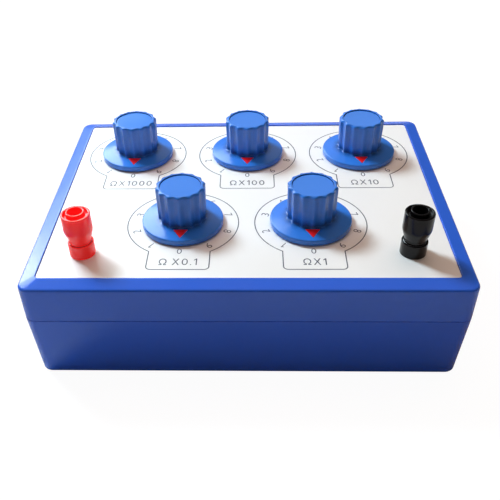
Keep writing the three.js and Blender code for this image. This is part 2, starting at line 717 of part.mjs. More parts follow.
function postCap() {
  const bottom = washerTop + POST_GAP;
  const groove = POST_CAP_HEIGHT - POST_CAP_GROOVE_DEPTH;
  const tubeTop = POST_CAP_HEIGHT + POST_CAP_TUBE_PROUD;
  return turnedRing([
    [POST_CAP_BORE_RADIUS, bottom],
    [POST_CAP_NECK_RADIUS, bottom],
    [POST_CAP_NECK_RADIUS + POST_CAP_NECK_FLARE, bottom + POST_CAP_NECK_LENGTH],
    [POST_CAP_RADIUS, POST_CAP_TAPER_TOP],
    [POST_CAP_RADIUS, POST_CAP_HEIGHT - POST_CAP_EDGE_ROUND],
    [POST_CAP_RADIUS - POST_CAP_EDGE_ROUND, POST_CAP_HEIGHT],
    [POST_CAP_RIM_RADIUS, POST_CAP_HEIGHT],
    [POST_CAP_RIM_RADIUS, groove],
    [POST_CAP_TUBE_RADIUS, groove],
    [POST_CAP_TUBE_RADIUS, tubeTop],
    [POST_CAP_BORE_RADIUS, tubeTop],
  ], POST_SIDES);
}

function postNut() {
  const bottom = -mountingDepth - POST_NUT_THICKNESS;
  return hexagonNut(POST_NUT_ACROSS_FLATS, STEM_RADIUS + STEM_FIT, bottom, -mountingDepth);
}

// Lead from the stud's lower end to the underside of the resistor board
function postLead() {
  const start = -STEM_LENGTH - LEAD_END_GAP;
  const end = -boardDepth - BOARD_THICKNESS - LEAD_END_GAP;
  const lowest = end - LEAD_SAG;
  const bendShare = 0.25;
  const route = new THREE.CatmullRomCurve3([
    new THREE.Vector3(0, 0, start),
    new THREE.Vector3(0, 0, (start + lowest) / 2),
    new THREE.Vector3(0, LEAD_REACH * bendShare, lowest),
    new THREE.Vector3(0, LEAD_REACH * (1 - bendShare), lowest),
    new THREE.Vector3(0, LEAD_REACH, (end + lowest) / 2),
    new THREE.Vector3(0, LEAD_REACH, end),
  ]);
  const section = new THREE.Shape();
  for (let i = 0; i < LEAD_SIDES; i += 1) {
    const angle = (i / LEAD_SIDES) * Math.PI * 2;
    const point = [LEAD_RADIUS * Math.cos(angle), LEAD_RADIUS * Math.sin(angle)];
    if (i === 0) {
      section.moveTo(...point);
    } else {
      section.lineTo(...point);
    }
  }
  section.closePath();
  return solidOf(new THREE.ExtrudeGeometry(section, { steps: LEAD_STEPS, extrudePath: route }));
}

// The whole box

const box = new THREE.Group();
box.name = 'decade_resistance_box';
box.add(meshOf('lower_shell', lowerShell(), casePlastic));
box.add(meshOf('upper_shell', upperShell(), casePlastic));
box.add(meshOf('face_panel', facePanel(), panelPrint));
box.add(meshOf('resistor_board', resistorBoard(), boardGreen));

const screwSolid = caseScrew();
for (const { name, x, y } of corners) {
  const screw = meshOf(`case_screw_${name}`, screwSolid, steel);
  screw.position.set(x, y, 0);
  box.add(screw);
}

const dialPieces = [
  ['knob', knob(), knobPlastic],
  ['knob_cap', knobCap(), knobPlastic],
  ['pointer', pointer(), pointerRed],
  ['grub_screw', grubScrew(), steel],
  ['shaft', shaft(), nickel],
  ['wiper', wiper(), brass],
  ['bush_nut', bushNut(), nickel],
  ['switch_body', switchBody(), switchPlastic],
];
for (const { name, x, y } of decades) {
  const dial = new THREE.Group();
  dial.position.set(x, y, PANEL_HEIGHT);
  for (const [piece, solid, material] of dialPieces) {
    dial.add(meshOf(`${piece}_${name}`, solid, material));
  }
  box.add(dial);
}

const postFinishes = { red: [postRed, leadRed], black: [postBlack, leadBlack] };
for (const { name, x, y } of posts) {
  const [plastic, insulation] = postFinishes[name];
  const post = new THREE.Group();
  post.position.set(x, y, PANEL_HEIGHT);
  post.add(meshOf(`post_collar_${name}`, postCollar(), plastic));
  post.add(meshOf(`post_stud_${name}`, postStud(), brass));
  post.add(meshOf(`clamp_washer_${name}`, clampWasher(), nickel));
  post.add(meshOf(`post_cap_${name}`, postCap(), plastic));
  post.add(meshOf(`post_nut_${name}`, postNut(), nickel));
  post.add(meshOf(`post_lead_${name}`, postLead(), insulation));
  box.add(post);
}

export default box;
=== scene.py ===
"""Decade resistance box: its visual pieces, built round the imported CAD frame, and the studio it stands in."""

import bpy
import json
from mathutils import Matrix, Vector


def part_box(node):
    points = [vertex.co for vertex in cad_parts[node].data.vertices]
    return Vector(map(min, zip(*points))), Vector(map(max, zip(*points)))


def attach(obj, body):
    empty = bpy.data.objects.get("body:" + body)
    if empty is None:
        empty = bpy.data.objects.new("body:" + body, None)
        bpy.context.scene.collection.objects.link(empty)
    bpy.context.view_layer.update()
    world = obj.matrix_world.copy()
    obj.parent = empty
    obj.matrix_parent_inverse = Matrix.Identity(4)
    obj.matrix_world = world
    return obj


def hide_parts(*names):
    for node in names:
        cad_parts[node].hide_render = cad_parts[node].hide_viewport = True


bl_info = {
    "name": "Decade Resistance Box",
    "version": (1, 0, 0),
    "blender": (4, 5, 0),
    "location": "3D View > Sidebar > Resistance Box",
    "description": "Builds a bench decade resistance box round its CAD frame",
    "category": "Add Mesh",
}

import json
import math

import bmesh
import bpy
from bpy.props import FloatProperty, FloatVectorProperty, IntProperty, PointerProperty
from mathutils import Color, Matrix, Vector

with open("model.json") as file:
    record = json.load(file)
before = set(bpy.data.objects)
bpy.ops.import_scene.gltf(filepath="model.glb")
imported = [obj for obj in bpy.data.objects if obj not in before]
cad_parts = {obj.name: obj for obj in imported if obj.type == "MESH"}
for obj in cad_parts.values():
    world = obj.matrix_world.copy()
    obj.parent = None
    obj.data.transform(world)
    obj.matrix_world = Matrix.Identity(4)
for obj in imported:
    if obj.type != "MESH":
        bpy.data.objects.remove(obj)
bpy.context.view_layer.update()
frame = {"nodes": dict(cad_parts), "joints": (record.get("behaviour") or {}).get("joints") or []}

MM = 0.001
FULL_TURN = math.tau
WELD = 0.002 * MM
SHARP_ANGLE = math.radians(32)
OVERCUT = 1 * MM  # how far a tool or a boss reaches past the face that it meets
HAIR = 1e-9  # metres, less than any two sizes differ by

# Where each joint stands, a dial's one on the panel's face
JOINT_PLACES = {joint["name"]: joint.get("pos_m") for joint in frame["joints"]}
DECADES = ("x1000", "x100", "x10", "x1", "x0_1")
LABELS = {"x1000": "ΩX1000", "x100": "ΩX100", "x10": "ΩX10", "x1": "ΩX1", "x0_1": "Ω X0.1"}
LETTER_SHAPES = {"Ω": 0.75, "X": 0.7, "1": 0.3}  # widths as shares of a letter's height
DIGIT_SHAPE = 0.6
STROKE = 0.11  # width of a letter's stroke as a share of its height
FLAG = (1.7, 2.7, 1.4)  # the figure 1's flag, strokes below its top: upper end, lower end and root
DIGIT_THINNING = -0.008  # takes the figures' strokes in, as a share of the font's size
FIGURES = 10  # positions of a dial
POSTS = ("red", "black")
MULTIPLIER_BANDS = {"x1000": "red", "x100": "brown", "x10": "black", "x1": "gold", "x0_1": "silver"}
THREAD_STEPS = 6  # levels up one turn of a thread
NUT_CHAMFER = 0.6  # rise of a nut's turned-off corner for each unit that it stands out
NUT_CLEARANCE = 0.05 * MM  # keeps the turned blank clear of the corners' edges
CORNERS = ("front_left", "front_right", "back_left", "back_right")


def dial_place(decade):
    return Vector(JOINT_PLACES[f"dial_{decade}_turn"])


def post_place(post):
    low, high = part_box(f"post_collar_{post}")
    face = dial_place(DECADES[0]).z
    return Vector(((low.x + high.x) / 2, (low.y + high.y) / 2, face))


def screw_place(corner):
    low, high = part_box(f"case_screw_{corner}")
    return Vector(((low.x + high.x) / 2, (low.y + high.y) / 2, 0))


# Sizes and colours

def length(name, description, size):
    """A length property whose default is given in millimetres."""
    return FloatProperty(name=name, description=description, default=size * MM, min=0, precision=5,
                         unit="LENGTH", subtype="DISTANCE")


def count(name, description, number):
    return IntProperty(name=name, description=description, default=number, min=1)


def share(name, description, value):
    return FloatProperty(name=name, description=description, default=value, min=0, max=1, subtype="FACTOR")


def angle(name, description, value):
    return FloatProperty(name=name, description=description, default=value, unit="ROTATION")


def shift(name, description, value):
    return FloatProperty(name=name, description=description, default=value)


def power(name, description, value):
    return FloatProperty(name=name, description=description, default=value, min=0, unit="POWER")


def colour(name, description, red, green, blue):
    """A colour property whose default is given as it looks on a screen, 0 to 255."""
    seen = Color((red / 255, green / 255, blue / 255))
    return FloatVectorProperty(name=name, description=description, size=3, min=0, max=1, subtype="COLOR",
                               default=tuple(seen.from_srgb_to_scene_linear()))


def position(name, description, across, back, up):
    """A position property whose default is given in millimetres."""
    return FloatVectorProperty(name=name, description=description, size=3, subtype="TRANSLATION",
                               unit="LENGTH", default=(across * MM, back * MM, up * MM))


class CaseSizes(bpy.types.PropertyGroup):
    """The two shells and the panel"""
    half_width: length("Half width", "From the middle to the case's side", 95)
    half_depth: length("Half depth", "From the middle to the case's front", 75)
    panel_height: length("Panel height", "Underside to the panel's face", 50)
    seam_height: length("Seam height", "Underside to the joint between the shells", 32)
    wall: length("Wall", "Thickness of the side walls", 3)
    floor: length("Floor", "Thickness of the lower shell's floor", 3)
    top_wall: length("Top wall", "Thickness of the wall under the panel", 2.5)
    corner_radius: length("Corner radius", "Upright corners, outside", 5)
    inner_radius: length("Inner corner radius", "Upright corners, inside", 2)
    edge_round: length("Edge round", "Round between side wall and rim", 1)
    base_round: length("Base round", "Round between side wall and underside", 0.5)
    seam_round: length("Seam round", "Round of both shells at their joint", 0.3)
    seam_gap: length("Seam gap", "Gap between the shells at their joint", 0.12)
    seam_flare: length("Seam flare", "How far both shells swell at their joint", 0.1)
    base_draw_in: length("Draw-in", "How far the lower shell narrows to its base", 1.2)
    rim_width: length("Rim width", "Case side to the panel's recess", 6.7)
    rim_start_drop: length("Rim start", "Rim's outer edge below the panel's face", 1)
    lip_rise: length("Lip rise", "Rim's inner lip above the panel's face", 0.5)
    lip_width: length("Lip width", "Flat of the rim's inner lip", 0.4)
    lip_round: length("Lip round", "Round of the lip's inner edge", 0.12)
    panel_corner: length("Panel corner", "Corner radius of the recess", 2)
    panel_thickness: length("Panel thickness", "Thickness of the face panel", 1.5)
    panel_fit: length("Panel fit", "Gap round the panel", 0.2)
    panel_edge: length("Panel edge", "Round of the panel's face edge", 0.12)
    bush_hole: length("Bush hole", "Radius of the holes for the switches' bushes", 4.9)
    post_hole: length("Post hole", "Radius of the holes for the posts", 3.55)
    tongue_height: length("Tongue height", "Lower shell's tongue above the seam", 1.5)
    tongue_wall: length("Tongue wall", "Thickness of the tongue", 1.3)
    tongue_fit: length("Tongue fit", "Gap round the tongue", 0.25)
    lower_boss: length("Lower boss", "Radius of the lower screw bosses", 4.5)
    upper_boss: length("Upper boss", "Radius of the upper screw bosses", 4)
    boss_split: length("Boss split", "Height where the bosses meet", 26)
    screw_hole: length("Screw hole", "Radius of the holes for the case screws", 1.6)
    pilot_top: length("Pilot top", "Top of the upper bosses' holes", 35)
    counterbore: length("Counterbore", "Radius of the recess for the screw's head", 3.15)
    counterbore_depth: length("Counterbore depth", "Depth of the recess for the screw's head", 6)
    corner_steps: count("Corner steps", "Facets of an upright corner", 10)


class KnobSizes(bpy.types.PropertyGroup):
    """A knob with its cap and pointer, heights from the panel's face"""
    skirt_radius: length("Skirt radius", "Radius of the skirt", 18.5)
    clearance: length("Clearance", "Skirt's lower edge above the panel", 0.5)
    edge_height: length("Edge height", "Top of the skirt's edge", 3.1)
    edge_round: length("Edge round", "Round of the skirt's upper edge", 0.55)
    foot_round: length("Foot round", "Round of the skirt's lower edge", 0.25)
    centre_height: length("Centre height", "Skirt's cone where the grip starts", 4.4)
    hollow_radius: length("Hollow radius", "Hollow under the skirt", 15.5)
    hollow_height: length("Hollow height", "Roof of the hollow under the skirt", 2.5)
    grip_top_radius: length("Grip top radius", "Grip's crests at the top", 11.25)
    grip_base_radius: length("Grip base radius", "Grip's crests at the skirt", 10.9)
    shoulder_drop: length("Shoulder drop", "How far the grip's edge lies below its ring", 0.3)
    shoulder_round: length("Shoulder round", "Round of the grip's upper edge", 0.75)
    root_round: length("Root round", "Fillet between grip and skirt", 0.5)
    flutes: count("Flutes", "Flutes round the grip", 14)
    flute_steps: count("Flute steps", "Facets of a flute", 12)
    flute_depth: length("Flute depth", "Depth of a flute below its crests", 0.9)
    height: length("Height", "Top of the ring round the cap", 20.25)
    ring_radius: length("Ring radius", "Outer radius of the ring round the cap", 9.95)
    pocket_radius: length("Pocket radius", "Pocket for the cap", 9.2)
    pocket_floor: length("Pocket floor", "Height of the pocket's floor", 18.5)
    bore_radius: length("Bore radius", "Bore for the shaft", 3.1)
    bore_top: length("Bore top", "Height of the bore's end", 16)
    cap_radius: length("Cap radius", "Radius of the cap", 9.1)
    cap_height: length("Cap height", "Height of the cap's face", 19.75)
    cap_dish: length("Cap dish", "How far the cap's face dips in the middle", 0.12)
    cap_round: length("Cap round", "Round of the cap's edge", 0.25)
    pointer_half_width: length("Pointer half width", "Half the pointer's base", 3.2)
    pointer_base: length("Pointer base", "Dial centre to the pointer's base", 11.4)
    pointer_tip: length("Pointer tip", "Dial centre to the pointer's tip", 16.4)
    pointer_floor: length("Pointer floor", "Height of the pointer's pocket", 3)
    pointer_proud: length("Pointer proud", "Pointer's face above the skirt", 0.15)
    pointer_round: length("Pointer round", "Round of the pointer's edges", 0.12)
    pointer_fit: length("Pointer fit", "Gap round the pointer", 0.1)
    grub_height: length("Grub screw height", "Height of the grub screw", 9)
    grub_hole: length("Grub screw hole", "Radius of the grub screw's hole", 1.6)


class PostSizes(bpy.types.PropertyGroup):
    """A binding post, heights from the panel's face"""
    mounting_depth: length("Mounting depth", "Panel and top wall together", 4)
    collar_radius: length("Collar radius", "Radius of the collar", 5.6)
    collar_height: length("Collar height", "Height of the collar", 6.4)
    collar_round: length("Collar round", "Round of the collar's edges", 0.35)
    recess_radius: length("Recess radius", "Recess in the collar's top", 5)
    seat_height: length("Seat height", "Floor of the collar's recess", 5.2)
    spigot_radius: length("Spigot radius", "Spigot below the collar", 3.4)
    bore_radius: length("Collar bore", "Collar's hole for the stud", 2.2)
    stem_radius: length("Stem radius", "Stud's stem below the collar", 2)
    stem_length: length("Stem length", "Stud's end below the panel's face", 13)
    flange_radius: length("Flange radius", "Stud's flange on the collar", 4.85)
    flange_top: length("Flange top", "Height of the flange's face", 5.7)
    stud_radius: length("Stud radius", "Threaded part of the stud", 2.9)
    stud_top: length("Stud top", "Height of the stud's end", 14)
    thread_pitch: length("Thread pitch", "Pitch of the stud's thread", 1)
    thread_depth: length("Thread depth", "Depth of the stud's thread", 0.35)
    socket_radius: length("Socket radius", "Socket for a test plug", 2.05)
    socket_floor: length("Socket floor", "Height of the socket's floor", 6.5)
    washer_radius: length("Washer radius", "Radius of the clamp washer", 4.8)
    washer_bottom: length("Washer bottom", "Height of the washer's lower face", 5.8)
    washer_top: length("Washer top", "Height of the washer's upper face", 6.3)
    cap_bottom: length("Cap bottom", "Height of the cap's lower face", 6.4)
    cap_bore: length("Cap bore", "Radius of the cap's bore", 3.15)
    neck_radius: length("Neck radius", "Cap's lower end", 4.75)
    neck_top_radius: length("Neck top radius", "Where the cap's taper starts", 4.78)
    neck_height: length("Neck height", "Height where the cap's taper starts", 7.6)
    head_radius: length("Head radius", "Cap's straight head", 6.2)
    taper_top: length("Taper top", "Height where the taper ends", 12.3)
    cap_height: length("Cap height", "Height of the cap's rim", 20.4)
    cap_round: length("Cap round", "Round of the cap's rim", 0.4)
    rim_radius: length("Rim radius", "Inner radius of the cap's rim", 5.2)
    groove_floor: length("Groove floor", "Height of the groove's floor", 19)
    tube_radius: length("Tube radius", "Outer radius of the cap's tube", 3.9)
    tube_top: length("Tube top", "Height of the tube's end", 21.4)
    steps: count("Steps", "Facets round a post", 64)


class PrintSizes(bpy.types.PropertyGroup):
    """The dials printed on the panel"""
    circle_radius: length("Circle radius", "Radius of a dial's line", 25.4)
    line_width: length("Line width", "Width of the dials' lines", 0.45)
    tab_half_width: length("Tab half width", "Half the width of the label's tab", 13.4)
    tab_end: length("Tab end", "Dial centre to the tab's lower line", 34.2)
    tab_corner: length("Tab corner", "Corner radius of the tab", 2)
    figure_radius: length("Figure radius", "Dial centre to the middle of a figure", 21.5)
    figure_height: length("Figure height", "Height of a figure", 3.6)
    label_height: length("Label height", "Height of the label's capitals", 4.4)
    letter_gap: length("Letter gap", "Between the letters of a label", 1.05)
    word_gap: length("Word gap", "Added where a label has a space", 1.3)
    label_radius: length("Label radius", "Dial centre to the middle of the label", 29)
    ink: length("Ink thickness", "How far the print stands above the panel", 0.03)


class FastenerSizes(bpy.types.PropertyGroup):
    """Screws and nuts, the dials' ones with heights from the panel's face"""
    head_bottom: length("Screw head", "Underside of the case to a case screw's head", 3.75)
    head_top: length("Screw seat", "Underside of the case to the head's seat", 6)
    head_radius: length("Head radius", "Radius of a case screw's head", 2.75)
    screw_radius: length("Screw radius", "Radius of a case screw's thread", 1.45)
    screw_tip: length("Screw tip", "Underside of the case to a case screw's tip", 34)
    screw_pitch: length("Screw pitch", "Pitch of the case screws", 0.9)
    cross_width: length("Cross width", "Width of the cross recess", 0.9)
    cross_depth: length("Cross depth", "Depth of the cross recess", 1.2)
    grub_radius: length("Grub radius", "Radius of a grub screw", 1.5)
    grub_start: length("Grub start", "Dial's axis to the grub screw's point", 2.6)
    grub_end: length("Grub end", "Dial's axis to the grub screw's outer end", 9.35)
    grub_key: length("Grub key", "Radius of the grub screw's key socket", 0.8)
    grub_key_depth: length("Grub key depth", "Depth of the grub screw's key socket", 1.5)
    grub_pitch: length("Grub pitch", "Pitch of the grub screws", 0.5)
    bush_nut: length("Bush nut", "Across the flats of a bush nut", 14)
    bush_nut_height: length("Bush nut height", "Thickness of a bush nut", 1.75)
    post_nut: length("Post nut", "Across the flats of a post's nut", 9)
    post_nut_height: length("Post nut height", "Thickness of a post's nut", 3)
    post_nut_bore: length("Post nut bore", "Radius of the bore of a post's nut", 2.2)


class SwitchSizes(bpy.types.PropertyGroup):
    """A rotary switch with its shaft and wiper, and the resistor board, heights from the panel's face"""
    shaft_radius: length("Shaft radius", "Radius of a shaft", 3)
    shaft_bottom: length("Shaft bottom", "Shaft's lower end below the panel's face", 12.75)
    shaft_top: length("Shaft top", "Shaft's upper end", 15.75)
    shaft_flat: length("Shaft flat", "Depth of the flat for the grub screw", 0.5)
    flat_bottom: length("Flat bottom", "Height where the flat starts", 6)
    flange_radius: length("Shaft flange", "Radius of the shaft's flange", 4.5)
    flange_top: length("Shaft flange top", "Shaft's flange below the panel's face", 6.7)
    flange_height: length("Shaft flange height", "Thickness of the shaft's flange", 1.25)
    body_radius: length("Body radius", "Radius of the switch's body", 17)
    body_wall: length("Body wall", "Wall of the switch's body", 2)
    roof: length("Roof", "Thickness of the body's roof", 2.5)
    roof_top: length("Roof top", "Body's roof below the panel's face", 4)
    bush_radius: length("Bush radius", "Radius of the threaded bush", 4.75)
    bush_bore: length("Bush bore", "Radius of the shaft's bearing", 3.1)
    bush_top: length("Bush top", "Height of the threaded bush", 2)
    bush_pitch: length("Bush pitch", "Pitch of the bush's thread", 0.75)
    hub_radius: length("Hub radius", "Radius of the wiper's hub", 4.75)
    hub_top: length("Hub top", "Wiper's hub below the panel's face", 8.15)
    arm_top: length("Arm top", "Wiper's arm below the panel's face", 10.9)
    arm_thickness: length("Arm thickness", "Thickness of the wiper's arm", 0.75)
    arm_width: length("Arm width", "Width of the wiper's arm", 3)
    contact_ring: length("Contact ring", "Dial's axis to its contacts", 12)
    wiper_bottom: length("Wiper bottom", "Wiper's contact below the panel's face", 13.7)
    board_top: length("Board top", "Resistor board below the panel's face", 14)
    board_thickness: length("Board thickness", "Thickness of the resistor board", 1.5)
    foil: length("Foil", "Thickness of the board's contacts and tracks", 0.07)
    resistor_ring: length("Resistor ring", "Dial's axis to its resistors", 13)
    resistor_radius: length("Resistor radius", "Radius of a resistor's ends", 1.1)
    resistor_waist: length("Resistor waist", "Radius of a resistor's middle", 0.92)
    resistor_half_length: length("Resistor half length", "Half the length of a resistor's body", 2.7)
    wire_reach: length("Wire reach", "Resistor's middle to the bend of its wires", 3.6)
    wire_radius: length("Wire radius", "Radius of a resistor's wires", 0.25)


class Finishes(bpy.types.PropertyGroup):
    """Colours of the plastics, the print and the metals"""
    case: colour("Case", "Blue plastic of the shells", 47, 105, 231)
    knob: colour("Knob", "Blue plastic of the knobs", 52, 126, 228)
    panel: colour("Panel", "White sheet of the face panel", 241, 242, 244)
    ink: colour("Ink", "Print on the panel", 66, 72, 92)
    pointer: colour("Pointer", "Red plastic of the pointers", 248, 24, 28)
    post_red: colour("Red post", "Red plastic of the post", 255, 36, 38)
    post_black: colour("Black post", "Black plastic of the post", 14, 11, 13)
    brass: colour("Brass", "Studs and wipers", 222, 184, 104)
    nickel: colour("Nickel", "Plated washers, nuts and shafts", 196, 197, 200)
    steel: colour("Steel", "Zinc-plated screws", 160, 163, 170)
    phenolic: colour("Phenolic", "Bodies of the rotary switches", 44, 38, 34)
    board: colour("Board", "Laminate of the resistor board", 38, 100, 58)
    foil: colour("Foil", "Copper contacts and tracks of the board", 214, 134, 88)
    solder: colour("Solder", "Solder joints and resistor wires", 186, 188, 192)
    resistor: colour("Resistor", "Lacquer of the resistors", 214, 190, 148)
    brown: colour("Brown band", "Brown bands on the resistors", 96, 50, 26)
    black: colour("Black band", "Black bands on the resistors", 22, 20, 20)
    red: colour("Red band", "Red bands on the resistors", 190, 30, 26)
    gold: colour("Gold band", "Gold bands on the resistors", 190, 146, 58)
    silver: colour("Silver band", "Silver bands on the resistors", 176, 178, 182)


class StageSettings(bpy.types.PropertyGroup):
    """Camera, lamps, room and floor"""
    camera_place: position("Camera place", "Where the camera stands", 2.7817, -278.7410, 222.6271)
    pitch: angle("Pitch", "How far the camera looks down", 0.70585)
    yaw: angle("Yaw", "How far the camera turns right", -0.04912)
    roll: angle("Roll", "How far the camera leans", -0.03157)
    lens: FloatProperty(name="Lens", description="Focal length on a 36 mm sensor", default=47.604, min=1,
                        unit="CAMERA")
    shift_x: shift("Shift X", "Sideways shift of the picture", 0.044)
    shift_y: shift("Shift Y", "Upward shift of the picture", 0.083)
    key_place: position("Key lamp", "Small near lamp", -190, 140, 330)
    key_power: power("Key power", "Power of the near lamp", 0.4)
    side_place: position("Side lamp", "Softbox that lights the box from the left", -705, 591, 970)
    side_power: power("Side power", "Power of the softbox at the left", 13.8)
    window_place: position("Window", "Window that only gloss shows", -575, 860, 800)
    window_power: power("Window power", "Power of the window that only gloss shows", 13.2)
    overhead_place: position("Overhead", "Wide softbox above", 120, 240, 850)
    overhead_power: power("Overhead power", "Power of the softbox above", 3.7)
    front_place: position("Front lamp", "Weak lamp in front", -450, -600, 350)
    front_power: power("Front power", "Power of the weak lamp in front", 0.2)
    strip_place: position("Strip", "Strip that whitens the rim's near left corner", -830, 780, 440)
    strip_power: power("Strip power", "Power of the strip at the left", 1.7)
    board_place: position("White board", "White board that the knobs' tops mirror", 60, 1000, 650)
    board_power: power("Board power", "Power of the white board", 0.4)
    room: share("Room", "Strength of the room's own light", 0.07)
    room_mirrored: share("Room mirrored", "Strength of the room as gloss and metal show it", 0.05)
    horizon: share("Horizon", "Strength of the room's pale horizon as gloss and metal show it", 1)
    floor: colour("Floor", "The pale floor, as it lights the box", 225, 225, 226)
    floor_seen: colour("Floor seen", "How much of its shadows the floor shows", 98, 98, 100)
    floor_white: share("Floor white", "How white the floor is in a shadow", 0.95)


class ResistanceBoxSettings(bpy.types.PropertyGroup):
    """Everything that a user may change before building"""
    case: PointerProperty(type=CaseSizes)
    knob: PointerProperty(type=KnobSizes)
    post: PointerProperty(type=PostSizes)
    print: PointerProperty(type=PrintSizes)
    fastener: PointerProperty(type=FastenerSizes)
    switch: PointerProperty(type=SwitchSizes)
    finishes: PointerProperty(type=Finishes)
    stage: PointerProperty(type=StageSettings)


def settings():
    return bpy.context.scene.resistance_box


# Shapes

def softened(points, steps=4):
    """Profile through (across, up, round) points, each corner rounded over that length of its sides."""
    bm = bmesh.new()
    corners = [bm.verts.new((across, 0, up)) for across, up, _ in points]
    for pair in zip(corners, corners[1:]):
        bm.edges.new(pair)
    for corner, (_, _, rounding) in zip(corners, points):
        if rounding:
            bmesh.ops.bevel(bm, geom=[corner], offset=rounding, offset_type="OFFSET", segments=steps,
                            profile=0.5, affect="VERTICES", material=-1)
    path = [corners[0]]
    edge = None
    while True:
        onward = [other for other in path[-1].link_edges if other != edge]
        if not onward:
            break
        edge = onward[0]
        path.append(edge.other_vert(path[-1]))
    levels = [(corner.co.x, corner.co.z) for corner in path]
    bm.free()
    return levels


def closed_up(bm):
    """Weld a shape's doubles and turn its faces outwards."""
    bmesh.ops.remove_doubles(bm, verts=bm.verts[:], dist=WELD)
    bmesh.ops.recalc_face_normals(bm, faces=bm.faces[:])
    return bm


def turned(levels, steps):
    """Body of revolution through (radius, height) levels, which end on the axis or close on themselves."""
    bm = bmesh.new()
    points = [bm.verts.new((radius, 0, height)) for radius, height in levels]
    for pair in zip(points, points[1:]):
        bm.edges.new(pair)
    bmesh.ops.spin(bm, geom=bm.verts[:] + bm.edges[:], cent=(0, 0, 0), axis=(0, 0, 1), dvec=(0, 0, 0),
                   angle=FULL_TURN, steps=steps, use_merge=True)
    return closed_up(bm)


def pulled(bm, face, move):
    """Extrude a face and give the new one, each of its corners put where move says."""
    inside = any(len(edge.link_faces) > 1 for edge in face.edges)
    made = bmesh.ops.extrude_face_region(bm, geom=[face])
    new_face = next(item for item in made["geom"] if isinstance(item, bmesh.types.BMFace))
    if inside and face.is_valid:
        bmesh.ops.delete(bm, geom=[face], context="FACES_ONLY")
    for vertex in new_face.verts:
        vertex.co = move(vertex.co)
    return new_face


def rounded_block(levels, corner_steps):
    """Solid through rounded rectangles, each given as (half width, half depth, corner radius, height)."""
    bm = bmesh.new()
    bmesh.ops.create_grid(bm, x_segments=1, y_segments=1, size=1)
    bmesh.ops.bevel(bm, geom=bm.verts[:], offset=0.5, offset_type="OFFSET", segments=corner_steps,
                    profile=0.5, affect="VERTICES", material=-1)
    face = bm.faces[:][0]
    previous = (1, 1, 0.5, 0)

    def between(old, new):
        def move(place):
            side = Vector((math.copysign(1, place.x), math.copysign(1, place.y)))
            old_centre = Vector((side.x * (old[0] - old[2]), side.y * (old[1] - old[2])))
            new_centre = Vector((side.x * (new[0] - new[2]), side.y * (new[1] - new[2])))
            spread = (place.xy - old_centre) / old[2]
            flat = new_centre + spread * new[2]
            return Vector((flat.x, flat.y, new[3]))
        return move

    place_first = between(previous, levels[0])
    for vertex in face.verts:
        vertex.co = place_first(vertex.co)
    for old, new in zip(levels, levels[1:]):
        face = pulled(bm, face, between(old, new))
    return closed_up(bm)


def pin(radius, bottom, top, steps=48, place=(0, 0, 0)):
    """Plain cylinder between two heights, the tool that cuts a hole or adds a boss."""
    bm = bmesh.new()
    bmesh.ops.create_cone(bm, cap_ends=True, segments=steps, radius1=radius, radius2=radius,
                          depth=top - bottom)
    return shifted(bm, *(Vector(place) + Vector((0, 0, (top + bottom) / 2))))


def threaded_shank(radius, bottom, top, pitch):
    """Profile points up a shank, close enough together to carry a thread."""
    steps = round((top - bottom) / pitch * THREAD_STEPS)
    return [(radius, bottom + (top - bottom) * step / steps, 0) for step in range(steps + 1)]


def cut_thread(bm, radius, bottom, top, pitch, depth):
    """Press a right-handed thread into the shank of that radius between two heights."""
    for vertex in bm.verts:
        side = vertex.co.xy
        if abs(side.length - radius) < WELD and bottom < vertex.co.z < top:
            turn = vertex.co.z / pitch - math.atan2(side.y, side.x) / FULL_TURN
            run_out = min(vertex.co.z - bottom, top - vertex.co.z) / pitch
            valley = depth * abs(2 * (turn % 1) - 1) * min(run_out, 1)
            vertex.co.xy = side * (1 - valley / radius)
    return bm


def hexagon_nut(across_flats, bore, bottom, top):
    """Nut with its corners turned off at both faces."""
    corner = across_flats / math.sqrt(3)
    slope = (corner - across_flats / 2) * NUT_CHAMFER
    blank = turned(softened([
        (0, bottom, 0),
        (across_flats / 2, bottom, 0),
        (corner + NUT_CLEARANCE, bottom + slope, 0),
        (corner + NUT_CLEARANCE, top - slope, 0),
        (across_flats / 2, top, 0),
        (0, top, 0),
    ]), steps=48)
    prism = moved(pin(corner, bottom, top, steps=6), Matrix.Rotation(math.pi / 2, 4, "Z"))
    nut = combined(prism, blank, "INTERSECT")
    return combined(nut, pin(bore, bottom - OVERCUT, top + OVERCUT), "DIFFERENCE")


def shape_of(curve):
    """Shape made from a curve or a text, which is used up."""
    holder = bpy.data.objects.new(curve.name, curve)
    bpy.context.scene.collection.objects.link(holder)
    bpy.context.view_layer.update()
    mesh = bpy.data.meshes.new_from_object(holder.evaluated_get(bpy.context.evaluated_depsgraph_get()))
    bpy.data.objects.remove(holder)
    bpy.data.curves.remove(curve)
    bm = bmesh.new()
    bm.from_mesh(mesh)
    bpy.data.meshes.remove(mesh)
    return bm


def wire(points, radius):
    """Round wire through points, closed at both ends."""
    curve = bpy.data.curves.new("Wire", "CURVE")
    curve.dimensions = "3D"
    curve.bevel_depth = radius
    curve.bevel_resolution = 2
    curve.use_fill_caps = True
    spline = curve.splines.new("POLY")
    spline.points.add(len(points) - 1)
    for bend, point in zip(spline.points, points):
        bend.co = (*point, 1)
    return closed_up(shape_of(curve))


def block(low, high):
    """Plain block between two corners, for a track or the tool that cuts a slot."""
    bm = bmesh.new()
    bmesh.ops.create_cube(bm, size=1)
    bmesh.ops.scale(bm, verts=bm.verts[:], vec=Vector(high) - Vector(low))
    return shifted(bm, *(Vector(high) + Vector(low)) / 2)


def moved(bm, matrix):
    bmesh.ops.transform(bm, matrix=matrix, verts=bm.verts[:])
    return bm


def shifted(bm, across, back, up):
    bmesh.ops.translate(bm, verts=bm.verts[:], vec=(across, back, up))
    return bm


